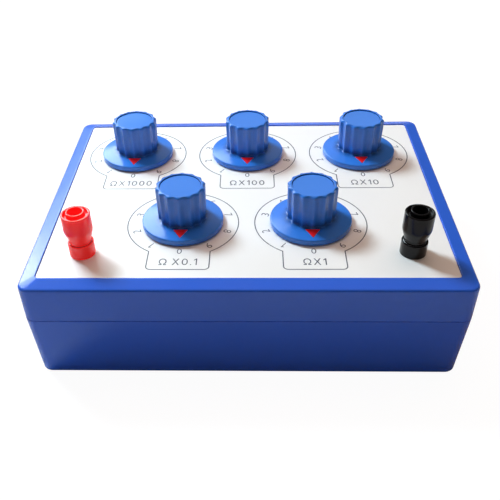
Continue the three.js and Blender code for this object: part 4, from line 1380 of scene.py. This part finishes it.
def collar_levels(post):
    return softened([
        (post.bore_radius, 0, 0),
        (post.bore_radius, -post.mounting_depth, 0),
        (post.spigot_radius, -post.mounting_depth, 0),
        (post.spigot_radius, 0, 0),
        (post.collar_radius, 0, 0.2 * MM),
        (post.collar_radius, post.collar_height, post.collar_round),
        (post.recess_radius, post.collar_height, 0.12 * MM),
        (post.recess_radius, post.seat_height, 0),
        (post.bore_radius, post.seat_height, 0),
        (post.bore_radius, 0, 0),
    ])


def stud_levels(post):
    return softened([
        (0, -post.stem_length, 0),
        (post.stem_radius, -post.stem_length, 0.3 * MM),
        (post.stem_radius, post.seat_height, 0),
        (post.flange_radius, post.seat_height, 0.12 * MM),
        (post.flange_radius, post.flange_top, 0.12 * MM),
        *threaded_shank(post.stud_radius, post.flange_top, post.stud_top - STUD_CHAMFER, post.thread_pitch),
        (post.stud_radius - 0.3 * MM, post.stud_top, 0),
        (post.socket_radius, post.stud_top, 0.2 * MM),
        (post.socket_radius, post.socket_floor, 0),
        (0, post.socket_floor - 0.4 * MM, 0),
    ])


def washer_levels(post):
    middle = (post.washer_bottom + post.washer_top) / 2
    return softened([
        (post.cap_bore, middle, 0),
        (post.cap_bore, post.washer_bottom, 0.06 * MM),
        (post.washer_radius, post.washer_bottom, 0.12 * MM),
        (post.washer_radius, post.washer_top, 0.12 * MM),
        (post.cap_bore, post.washer_top, 0.06 * MM),
        (post.cap_bore, middle, 0),
    ])


def post_cap_levels(post):
    middle = (post.cap_bottom + post.tube_top) / 2
    return softened([
        (post.cap_bore, middle, 0),
        (post.cap_bore, post.cap_bottom, 0.15 * MM),
        (post.neck_radius, post.cap_bottom, 0.2 * MM),
        (post.neck_top_radius, post.neck_height, 0.3 * MM),
        (post.head_radius, post.taper_top, 0.8 * MM),
        (post.head_radius, post.cap_height, post.cap_round),
        (post.rim_radius, post.cap_height, 0.25 * MM),
        (post.rim_radius, post.groove_floor, 0.15 * MM),
        (post.tube_radius, post.groove_floor, 0.15 * MM),
        (post.tube_radius, post.tube_top, 0.25 * MM),
        (post.cap_bore, post.tube_top, 0.2 * MM),
        (post.cap_bore, middle, 0),
    ])


class RESBOX_OT_binding_posts(bpy.types.Operator):
    """Build both binding posts: collars, studs, clamp washers and caps"""
    bl_idname = "resbox.binding_posts"
    bl_label = "Binding Posts"

    def execute(self, context):
        sizes = settings().post
        for post in POSTS:
            moulding = post_plastic(post)
            place = post_place(post)
            parts = (
                ("collar", collar_levels, moulding, "case", f"post_{post}", f"post_collar_{post}"),
                ("stud", stud_levels, brass(), "case", "brass", f"post_stud_{post}"),
                ("washer", washer_levels, nickel(), f"clamp_{post}", "nickel", f"clamp_washer_{post}"),
                ("cap", post_cap_levels, moulding, f"cap_{post}", f"post_{post}", f"post_cap_{post}"),
            )
            for name, levels_of, finish, body, slot, node in parts:
                shape = turned(levels_of(sizes), sizes.steps)
                if name == "stud":
                    cut_thread(shape, sizes.stud_radius, sizes.flange_top, sizes.stud_top - STUD_CHAMFER,
                               sizes.thread_pitch, sizes.thread_depth)
                piece(f"binding_{name}_{post}", shape, finish, body, slot, [node], place)
                shape.free()
        return {"FINISHED"}


class RESBOX_OT_post_fixings(bpy.types.Operator):
    """Build the nuts under the binding posts and finish their leads"""
    bl_idname = "resbox.post_fixings"
    bl_label = "Post Fixings"

    def execute(self, context):
        fastener = settings().fastener
        seat = -settings().post.mounting_depth
        shape = hexagon_nut(fastener.post_nut, fastener.post_nut_bore, seat - fastener.post_nut_height, seat)
        for post in POSTS:
            piece(f"hexagon_nut_{post}", shape, nickel(), "case", "nickel", [f"post_nut_{post}"],
                  post_place(post))
            for slot in frame["nodes"][f"post_lead_{post}"].material_slots:
                slot.material = lead_rubber(post)
        shape.free()
        return {"FINISHED"}


# Screws

SCREW_THREAD_DEPTH = 0.3 * MM
GRUB_THREAD_DEPTH = 0.2 * MM
CROSS_REACH = 0.62  # half the cross's length as a share of the head's radius
CROWN = 0.6  # the head's flat middle as a share of its radius


def case_screw_shape(fastener):
    """Round-headed screw with a cross recess, its head down."""
    radius, seat, tip = fastener.screw_radius, fastener.head_top, fastener.screw_tip
    thread_bottom, thread_top = seat + 2 * MM, tip - radius
    levels = softened([
        (0, fastener.head_bottom, 0),
        (fastener.head_radius * CROWN, fastener.head_bottom, 0.3 * MM),
        (fastener.head_radius, fastener.head_bottom + 0.9 * MM, 0.5 * MM),
        (fastener.head_radius, seat, 0.1 * MM),
        (radius, seat, 0),
        *threaded_shank(radius, thread_bottom, thread_top, fastener.screw_pitch),
        (0, tip, 0),
    ])
    screw = cut_thread(turned(levels, steps=24), radius, thread_bottom, thread_top, fastener.screw_pitch,
                       SCREW_THREAD_DEPTH)
    half = fastener.cross_width / 2
    reach = fastener.head_radius * CROSS_REACH
    for across, back in ((half, reach), (reach, half)):
        slot = block((-across, -back, fastener.head_bottom - OVERCUT),
                     (across, back, fastener.head_bottom + fastener.cross_depth))
        screw = combined(screw, slot, "DIFFERENCE")
    return screw


class RESBOX_OT_case_screws(bpy.types.Operator):
    """Build the four screws that hold the shells together"""
    bl_idname = "resbox.case_screws"
    bl_label = "Case Screws"

    def execute(self, context):
        shape = case_screw_shape(settings().fastener)
        for corner in CORNERS:
            piece(f"cross_screw_{corner}", shape, steel(), "case", "steel", [f"case_screw_{corner}"],
                  screw_place(corner))
        shape.free()
        return {"FINISHED"}


class RESBOX_OT_grub_screws(bpy.types.Operator):
    """Build the socket screws that clamp the knobs to their shafts"""
    bl_idname = "resbox.grub_screws"
    bl_label = "Grub Screws"

    def execute(self, context):
        fastener = settings().fastener
        radius, start, end = fastener.grub_radius, fastener.grub_start, fastener.grub_end
        thread_bottom, thread_top = start + 0.5 * MM, end - 0.2 * MM
        levels = softened([
            (0, start + 0.3 * MM, 0),
            (radius * 0.5, start, 0),
            (radius * 0.7, start, 0),
            *threaded_shank(radius, thread_bottom, thread_top, fastener.grub_pitch),
            (radius - 0.2 * MM, end, 0),
            (0, end, 0),
        ])
        shape = cut_thread(turned(levels, steps=32), radius, thread_bottom, thread_top, fastener.grub_pitch,
                           GRUB_THREAD_DEPTH)
        key = pin(fastener.grub_key, end - fastener.grub_key_depth, end + OVERCUT, steps=6)
        shape = combined(shape, key, "DIFFERENCE")
        lying = Matrix.Rotation(-math.pi / 2, 4, "X")
        shape = shifted(moved(shape, lying), 0, 0, settings().knob.grub_height)
        on_every_dial("socket_screw", shape, steel(), "steel", "grub_screw")
        return {"FINISHED"}


# Switches

ARM_END = 1 * MM  # how far a wiper's arm reaches past its contact
DIMPLE_RADIUS = 0.95 * MM  # the wiper's contact
BORE_END_GAP = 0.2 * MM  # between the shaft's end and the floor of the wiper's bore
BUSH_THREAD_DEPTH = 0.3 * MM
BUSH_NUT_FIT = 0.15 * MM  # between a bush and its nut


class RESBOX_OT_shafts(bpy.types.Operator):
    """Build the five shafts with their flanges and flats"""
    bl_idname = "resbox.shafts"
    bl_label = "Shafts"

    def execute(self, context):
        switch = settings().switch
        radius = switch.shaft_radius
        flange_bottom = -switch.flange_top - switch.flange_height
        levels = softened([
            (0, -switch.shaft_bottom, 0),
            (radius, -switch.shaft_bottom, 0.3 * MM),
            (radius, flange_bottom, 0),
            (switch.flange_radius, flange_bottom, 0.15 * MM),
            (switch.flange_radius, -switch.flange_top, 0.15 * MM),
            (radius, -switch.flange_top, 0),
            (radius, switch.shaft_top, 0.4 * MM),
            (0, switch.shaft_top, 0),
        ], steps=2)
        wide = radius * 2
        flat = block((-wide, radius - switch.shaft_flat, switch.flat_bottom),
                     (wide, wide, switch.shaft_top + OVERCUT))
        shape = combined(turned(levels, steps=48), flat, "DIFFERENCE")
        on_every_dial("spindle", shape, nickel(), "nickel", "shaft")
        return {"FINISHED"}


class RESBOX_OT_wipers(bpy.types.Operator):
    """Build the spring arms that run over the contacts"""
    bl_idname = "resbox.wipers"
    bl_label = "Wipers"

    def execute(self, context):
        switch = settings().switch
        hub = turned(softened([
            (0, -switch.wiper_bottom, 0),
            (switch.hub_radius, -switch.wiper_bottom, 0.2 * MM),
            (switch.hub_radius, -switch.hub_top, 0.2 * MM),
            (0, -switch.hub_top, 0),
        ]), steps=48)
        half_width = switch.arm_width / 2
        arm_bottom = -switch.arm_top - switch.arm_thickness
        half_length = (switch.contact_ring + ARM_END) / 2
        arm = rounded_block([(half_width, half_length, half_width * 0.9, height)
                             for height in (arm_bottom, -switch.arm_top)], corner_steps=8)
        shape = combined(hub, shifted(arm, 0, -half_length, 0), "UNION")
        arm_middle = -switch.arm_top - switch.arm_thickness / 2
        dimple = turned(softened([
            (0, -switch.wiper_bottom, 0),
            (DIMPLE_RADIUS, -switch.wiper_bottom, 0.6 * MM),
            (DIMPLE_RADIUS, arm_middle, 0),
            (0, arm_middle, 0),
        ]), steps=24)
        shape = combined(shape, shifted(dimple, 0, -switch.contact_ring, 0), "UNION")
        bore = pin(switch.bush_bore, -switch.shaft_bottom - BORE_END_GAP, -switch.hub_top + OVERCUT)
        shape = combined(shape, bore, "DIFFERENCE")
        on_every_dial("spring_arm", shape, brass(), "brass", "wiper")
        return {"FINISHED"}


def switch_cup(switch):
    """Upturned cup with a stiffening step, closed round the threaded bush."""
    inside = switch.body_radius - switch.body_wall
    roof_bottom = -switch.roof_top - switch.roof
    step_height = 3 * MM
    step_width = 0.5 * MM
    return turned(softened([
        (switch.bush_radius, -switch.roof_top, 0),
        (switch.bush_radius, roof_bottom, 0),
        (inside, roof_bottom, 0.5 * MM),
        (inside, -switch.board_top, 0),
        (switch.body_radius, -switch.board_top, 0.15 * MM),
        (switch.body_radius, -switch.board_top + step_height, 0.2 * MM),
        (switch.body_radius - step_width, -switch.board_top + step_height + step_width, 0.2 * MM),
        (switch.body_radius - step_width, -switch.roof_top, 0.8 * MM),
        (switch.bush_radius, -switch.roof_top, 0),
    ]), steps=96)


def threaded_bush(switch):
    bottom, thread_top = -switch.roof_top, switch.bush_top - 0.3 * MM
    roof_bottom = -switch.roof_top - switch.roof
    shape = turned(softened([
        (switch.bush_bore, switch.bush_top, 0),
        (switch.bush_bore, roof_bottom, 0),
        (switch.bush_radius - 0.01 * MM, roof_bottom, 0),
        *threaded_shank(switch.bush_radius, bottom, thread_top, switch.bush_pitch),
        (switch.bush_radius - 0.3 * MM, switch.bush_top, 0),
        (switch.bush_bore, switch.bush_top, 0),
    ]), steps=64)
    return cut_thread(shape, switch.bush_radius, bottom, thread_top, switch.bush_pitch, BUSH_THREAD_DEPTH)


class RESBOX_OT_switches(bpy.types.Operator):
    """Build the switches' cups, threaded bushes and nuts"""
    bl_idname = "resbox.switches"
    bl_label = "Rotary Switches"

    def execute(self, context):
        switch, fastener = settings().switch, settings().fastener
        nut = hexagon_nut(fastener.bush_nut, switch.bush_radius + BUSH_NUT_FIT, 0, fastener.bush_nut_height)
        cup = switch_cup(switch)
        bush = threaded_bush(switch)
        for decade in DECADES:
            place = dial_place(decade)
            body, lock_nut = f"switch_body_{decade}", f"bush_nut_{decade}"
            piece(f"switch_cup_{decade}", cup, phenolic(), "case", "switch_plastic", [body], place)
            piece(f"threaded_bush_{decade}", bush, nickel(), "case", "nickel", [body], place)
            piece(f"hexagon_nut_{decade}", nut, nickel(), "case", "nickel", [lock_nut], place)
        for shape in (nut, cup, bush):
            shape.free()
        return {"FINISHED"}


# Resistor board

CONTACT_RADIUS = 1.4 * MM
PAD_RADIUS = 1.5 * MM
JOINT_RADIUS = 1.1 * MM  # solder on a resistor's wire
JOINT_HEIGHT = 0.8 * MM
LEAD_PAD_RADIUS = 2 * MM
LEAD_JOINT_RADIUS = 1.5 * MM
LEAD_JOINT_HEIGHT = 1 * MM
TRACK_HALF_WIDTH = 0.75 * MM
TRACK_GAP = 1 * MM  # between a dial's pads and the track's end
BOARD_CORNER = 2 * MM
BAND_PLACES = (-0.9 * MM, -0.1 * MM, 0.7 * MM)  # along a resistor's waist
TOLERANCE_BAND_INSET = 0.75 * MM  # from the resistor's end
BAND_HALF_WIDTH = 0.2 * MM
BAND_PROUD = 0.02 * MM
RESISTOR_DROP = 0.1 * MM  # between the board and a resistor
FACETS = 16  # round a resistor, a band or a joint


def resistor_body(switch):
    """Dog-bone body of one resistor, standing on end at the origin."""
    ends, waist, half = switch.resistor_radius, switch.resistor_waist, switch.resistor_half_length
    neck = half - 1.1 * MM
    waist_end = half - 1.4 * MM
    return turned(softened([
        (0, -half, 0),
        (ends, -half, 0.35 * MM),
        (ends, -neck, 0.2 * MM),
        (waist, -waist_end, 0.2 * MM),
        (waist, waist_end, 0.2 * MM),
        (ends, neck, 0.2 * MM),
        (ends, half, 0.35 * MM),
        (0, half, 0),
    ], steps=2), FACETS)


def band(radius, middle):
    """A painted ring round a resistor."""
    return pin(radius + BAND_PROUD, middle - BAND_HALF_WIDTH, middle + BAND_HALF_WIDTH, steps=FACETS)


def resistor_wire(switch):
    """Wire through a resistor that stands on end, both ends bent towards the board."""
    reach = switch.wire_reach
    bend = 0.4 * MM
    inner = 0.12 * MM
    rise = switch.resistor_radius + 0.3 * MM
    half = [(0, 0, reach - bend), (-inner, 0, reach - inner), (-bend, 0, reach), (-rise, 0, reach)]
    return wire([(across, back, -up) for across, back, up in reversed(half)] + half, switch.wire_radius)


def disc(radius, bottom, top, across, back):
    return pin(radius, bottom, top, steps=24, place=(across, back, 0))


def joint(radius, height):
    """Dome of solder under the board, hanging from the origin."""
    levels = softened([(0, -height, 0), (radius * 0.45, -height, 0.15 * MM), (radius, 0, 0), (0, 0, 0)])
    return turned(levels, FACETS)


class RESBOX_OT_resistor_board(bpy.types.Operator):
    """Build the board with its contacts, tracks, solder joints and banded resistors"""
    bl_idname = "resbox.resistor_board"
    bl_label = "Resistor Board"

    def execute(self, context):
        switch = settings().switch
        low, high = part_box("resistor_board")
        face = dial_place(DECADES[0]).z
        top = face - switch.board_top
        bottom = top - switch.board_thickness
        half_width, half_depth = (high.x - low.x) / 2, (high.y - low.y) / 2
        plate = rounded_block([(half_width, half_depth, BOARD_CORNER, height) for height in (bottom, top)],
                              corner_steps=6)
        plate = shifted(plate, (low.x + high.x) / 2, (low.y + high.y) / 2, 0)
        self.fixed("board_plate", plate, board_laminate())
        self.add_foil(switch, top, bottom)
        self.add_resistors(switch, bottom)
        return {"FINISHED"}

    def fixed(self, name, shape, finish):
        """Put a shape on the board and use it up."""
        piece(name, shape, finish, "case", "board", ["resistor_board"])
        shape.free()

    def add_foil(self, switch, top, bottom):
        """Contacts over the board, and under it the pads, the solder and the tracks from dial to dial."""
        contacts, pads, joints = [], [], []
        pad_ring = math.hypot(switch.resistor_ring, switch.wire_reach)
        for decade in DECADES:
            centre = dial_place(decade)
            for figure in range(FIGURES):
                heading = figure * FULL_TURN / FIGURES
                direction = Vector((math.sin(heading), -math.cos(heading), 0))
                contact = centre + direction * switch.contact_ring
                pad = centre + direction * pad_ring
                contacts.append(disc(CONTACT_RADIUS, top, top + switch.foil, contact.x, contact.y))
                pads.append(disc(PAD_RADIUS, bottom - switch.foil, bottom, pad.x, pad.y))
                joints.append(shifted(joint(JOINT_RADIUS, JOINT_HEIGHT), pad.x, pad.y, bottom))
        for post in POSTS:
            lead_low, lead_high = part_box(f"post_lead_{post}")
            across = (lead_low.x + lead_high.x) / 2
            back = lead_high.y - (lead_high.x - lead_low.x) / 2
            pads.append(disc(LEAD_PAD_RADIUS, bottom - switch.foil, bottom, across, back))
            joints.append(shifted(joint(LEAD_JOINT_RADIUS, LEAD_JOINT_HEIGHT), across, back, bottom))
        self.fixed("board_contacts", together(contacts), foil_copper())
        self.fixed("board_pads", together(pads), foil_copper())
        self.fixed("solder_joints", together(joints), solder())
        spacing = pad_ring + TRACK_GAP
        tracks = []
        for first, second in zip(DECADES, DECADES[1:]):
            start, end = dial_place(first), dial_place(second)
            along = (end - start).normalized()
            track = block((spacing, -TRACK_HALF_WIDTH, bottom - switch.foil),
                          ((end - start).length - spacing, TRACK_HALF_WIDTH, bottom))
            turn = Matrix.Rotation(math.atan2(along.y, along.x), 4, "Z")
            tracks.append(moved(track, Matrix.Translation((start.x, start.y, 0)) @ turn))
        self.fixed("board_tracks", together(tracks), foil_copper())

    def add_resistors(self, switch, bottom):
        """Nine resistors for each dial, side on to its ring, with the bands of their values."""
        shapes = {"resistor": [], "wires": []}
        lying = Matrix.Rotation(math.pi / 2, 4, "Y")
        waist, ends, half = switch.resistor_waist, switch.resistor_radius, switch.resistor_half_length
        for decade in DECADES:
            value_bands = zip(("brown", "black", MULTIPLIER_BANDS[decade]), BAND_PLACES)
            bands = [(name, waist, middle) for name, middle in value_bands]
            bands.append(("gold", ends, half - TOLERANCE_BAND_INSET))
            for gap in range(FIGURES - 1):
                height = bottom - switch.resistor_radius - RESISTOR_DROP
                hang = Matrix.Translation((0, -switch.resistor_ring, height))
                around = Matrix.Rotation((gap + 0.5) * FULL_TURN / FIGURES, 4, "Z")
                centre = dial_place(decade)
                spot = Matrix.Translation((centre.x, centre.y, 0)) @ around @ hang @ lying
                shapes["resistor"].append(moved(resistor_body(switch), spot))
                shapes["wires"].append(moved(resistor_wire(switch), spot))
                for name, radius, middle in bands:
                    shapes.setdefault(name, []).append(moved(band(radius, middle), spot))
        self.fixed("resistor_bodies", together(shapes.pop("resistor")), lacquer("resistor"))
        self.fixed("resistor_wires", together(shapes.pop("wires")), solder())
        for name, rings in shapes.items():
            self.fixed(f"resistor_bands_{name}", together(rings), lacquer(name))


# Studio

# Each lamp's name in the settings, its own name, its side in metres and its colour
LAMPS = (
    ("key", "Key lamp", 0.06, (0.8, 0.95, 1)),
    ("side", "Side softbox", 0.3, (0.77, 0.94, 1)),
    ("window", "Window softbox", 0.75, (0.8, 0.95, 1)),
    ("overhead", "Overhead softbox", 0.9, (1, 0.67, 0.49)),
    ("front", "Front lamp", 0.4, (1, 0.9, 0.8)),
    ("strip", "Left strip", 0.25, (1, 1, 1)),
    ("board", "White board", 0.5, (1, 1, 1)),
)
NOT_IN_GLOSS = ("key", "side", "overhead")
ONLY_IN_GLOSS = ("window",)
LAMPS_AIM = Vector((0, 0, 50 * MM))  # the middle of the panel's face
FLOOR_REACH = 3  # metres from the middle to the floor's edge
FLOOR_DROP = 0.05 * MM  # keeps the floor clear of the case's underside
ROOM_COLOR = (1, 0.93, 0.86)
HORIZON_FADE = 8.0  # how fast the pale horizon fades upwards and downwards
SENSOR_WIDTH = 36
CLIP_START = 0.01


def lamp(name, place, size, energy, color):
    """Square area lamp that looks at the box."""
    glow = bpy.data.lights.new(name, "AREA")
    glow.shape = "SQUARE"
    glow.size = size
    glow.energy = energy
    glow.color = color
    holder = bpy.data.objects.new(name, glow)
    bpy.context.scene.collection.objects.link(holder)
    aim = LAMPS_AIM - Vector(place)
    holder.matrix_world = Matrix.Translation(place) @ aim.to_track_quat("-Z", "Y").to_matrix().to_4x4()
    return holder


class RESBOX_OT_stage(bpy.types.Operator):
    """Set the floor, the lamps, the room's light and the camera"""
    bl_idname = "resbox.stage"
    bl_label = "Studio"

    def execute(self, context):
        stage = settings().stage
        self.add_floor(stage)
        self.light_room(context.scene, stage)
        self.add_lamps(stage)
        self.add_camera(context.scene, stage)
        context.scene.view_settings.view_transform = "Standard"
        return {"FINISHED"}

    def add_lamps(self, stage):
        """Lamps whose light and whose mirror images can be set apart."""
        for key, name, size, color in LAMPS:
            made = lamp(name, getattr(stage, f"{key}_place"), size, getattr(stage, f"{key}_power"), color)
            made.visible_glossy = key not in NOT_IN_GLOSS
            made.visible_diffuse = key not in ONLY_IN_GLOSS

    def add_floor(self, stage):
        bm = bmesh.new()
        bmesh.ops.create_grid(bm, x_segments=1, y_segments=1, size=FLOOR_REACH)
        bmesh.ops.translate(bm, verts=bm.verts[:], vec=(0, 0, -FLOOR_DROP))
        mesh = bpy.data.meshes.new("Studio floor")
        bm.to_mesh(mesh)
        bm.free()
        floor = bpy.data.objects.new("studio_floor", mesh)
        bpy.context.scene.collection.objects.link(floor)
        made = bpy.data.materials.new("Studio floor")
        made.use_nodes = True
        tree = made.node_tree
        shader = tree.nodes["Principled BSDF"]
        shader.inputs["Roughness"].default_value = 0.9
        shader.inputs["Specular IOR Level"].default_value = 0.0
        shader.inputs["Emission Color"].default_value = (1, 1, 1, 1)
        path = tree.nodes.new("ShaderNodeLightPath")
        pale = mixed(tree, path.outputs["Is Camera Ray"], stage.floor, stage.floor_seen)
        tree.links.new(pale, shader.inputs["Base Color"])
        shown = maths(tree, "MULTIPLY", path.outputs["Is Camera Ray"], stage.floor_white)
        tree.links.new(shown, shader.inputs["Emission Strength"])
        mesh.materials.append(made)

    def light_room(self, scene, stage):
        """White where the camera looks, a pale horizon where gloss looks, and weak light from all round."""
        world = bpy.data.worlds.new("Studio room")
        world.use_nodes = True
        tree = world.node_tree
        background = tree.nodes["Background"]
        path = tree.nodes.new("ShaderNodeLightPath")
        seen = maths(tree, "MAXIMUM", path.outputs["Is Camera Ray"], path.outputs["Is Transmission Ray"])
        tree.links.new(mixed(tree, seen, ROOM_COLOR, (1, 1, 1)), background.inputs["Color"])
        heading = tree.nodes.new("ShaderNodeSeparateXYZ")
        tree.links.new(tree.nodes.new("ShaderNodeTexCoord").outputs["Generated"], heading.inputs[0])
        steepness = maths(tree, "MULTIPLY", maths(tree, "ABSOLUTE", heading.outputs["Z"], 0), HORIZON_FADE)
        horizon = maths(tree, "MULTIPLY", maths(tree, "SUBTRACT", 1.0, steepness, clamp=True), stage.horizon)
        mirrored = maths(tree, "MAXIMUM", horizon, stage.room_mirrored)
        in_gloss = maths(tree, "MULTIPLY", path.outputs["Is Glossy Ray"], mirrored)
        unseen = maths(tree, "MAXIMUM", in_gloss, stage.room)
        tree.links.new(maths(tree, "MAXIMUM", seen, unseen), background.inputs["Strength"])
        scene.world = world

    def add_camera(self, scene, stage):
        lens = bpy.data.cameras.new("Camera")
        lens.sensor_width = SENSOR_WIDTH
        lens.lens = stage.lens
        lens.shift_x = stage.shift_x
        lens.shift_y = stage.shift_y
        lens.clip_start = CLIP_START
        camera = bpy.data.objects.new("Camera", lens)
        scene.collection.objects.link(camera)
        camera.matrix_world = (Matrix.Translation(stage.camera_place) @ Matrix.Rotation(-stage.yaw, 4, "Z")
                               @ Matrix.Rotation(math.pi / 2 - stage.pitch, 4, "X")
                               @ Matrix.Rotation(stage.roll, 4, "Z"))
        scene.camera = camera


class RESBOX_PT_sidebar(bpy.types.Panel):
    """The build steps, in order"""
    bl_idname = "RESBOX_PT_sidebar"
    bl_label = "Resistance Box"
    bl_space_type = "VIEW_3D"
    bl_region_type = "UI"
    bl_category = "Resistance Box"

    def draw(self, context):
        column = self.layout.column(align=True)
        for step in STEPS:
            column.operator(step.bl_idname)


GROUPS = (CaseSizes, KnobSizes, PostSizes, PrintSizes, FastenerSizes, SwitchSizes, Finishes, StageSettings,
          ResistanceBoxSettings)
STEPS = (
    RESBOX_OT_lower_shell, RESBOX_OT_upper_shell, RESBOX_OT_face_panel, RESBOX_OT_panel_print,
    RESBOX_OT_knobs, RESBOX_OT_knob_caps, RESBOX_OT_pointers, RESBOX_OT_binding_posts,
    RESBOX_OT_post_fixings, RESBOX_OT_case_screws, RESBOX_OT_grub_screws, RESBOX_OT_shafts,
    RESBOX_OT_wipers, RESBOX_OT_switches, RESBOX_OT_resistor_board, RESBOX_OT_stage,
)


def register():
    for group in GROUPS:
        bpy.utils.register_class(group)
    bpy.types.Scene.resistance_box = PointerProperty(type=ResistanceBoxSettings)
    for step in STEPS:
        bpy.utils.register_class(step)
    bpy.utils.register_class(RESBOX_PT_sidebar)


def unregister():
    bpy.utils.unregister_class(RESBOX_PT_sidebar)
    for step in reversed(STEPS):
        bpy.utils.unregister_class(step)
    del bpy.types.Scene.resistance_box
    for group in reversed(GROUPS):
        bpy.utils.unregister_class(group)


def main():
    register()
    for step in STEPS:
        family, name = step.bl_idname.split(".")
        getattr(getattr(bpy.ops, family), name)()


if __name__ == "__main__":
    main()
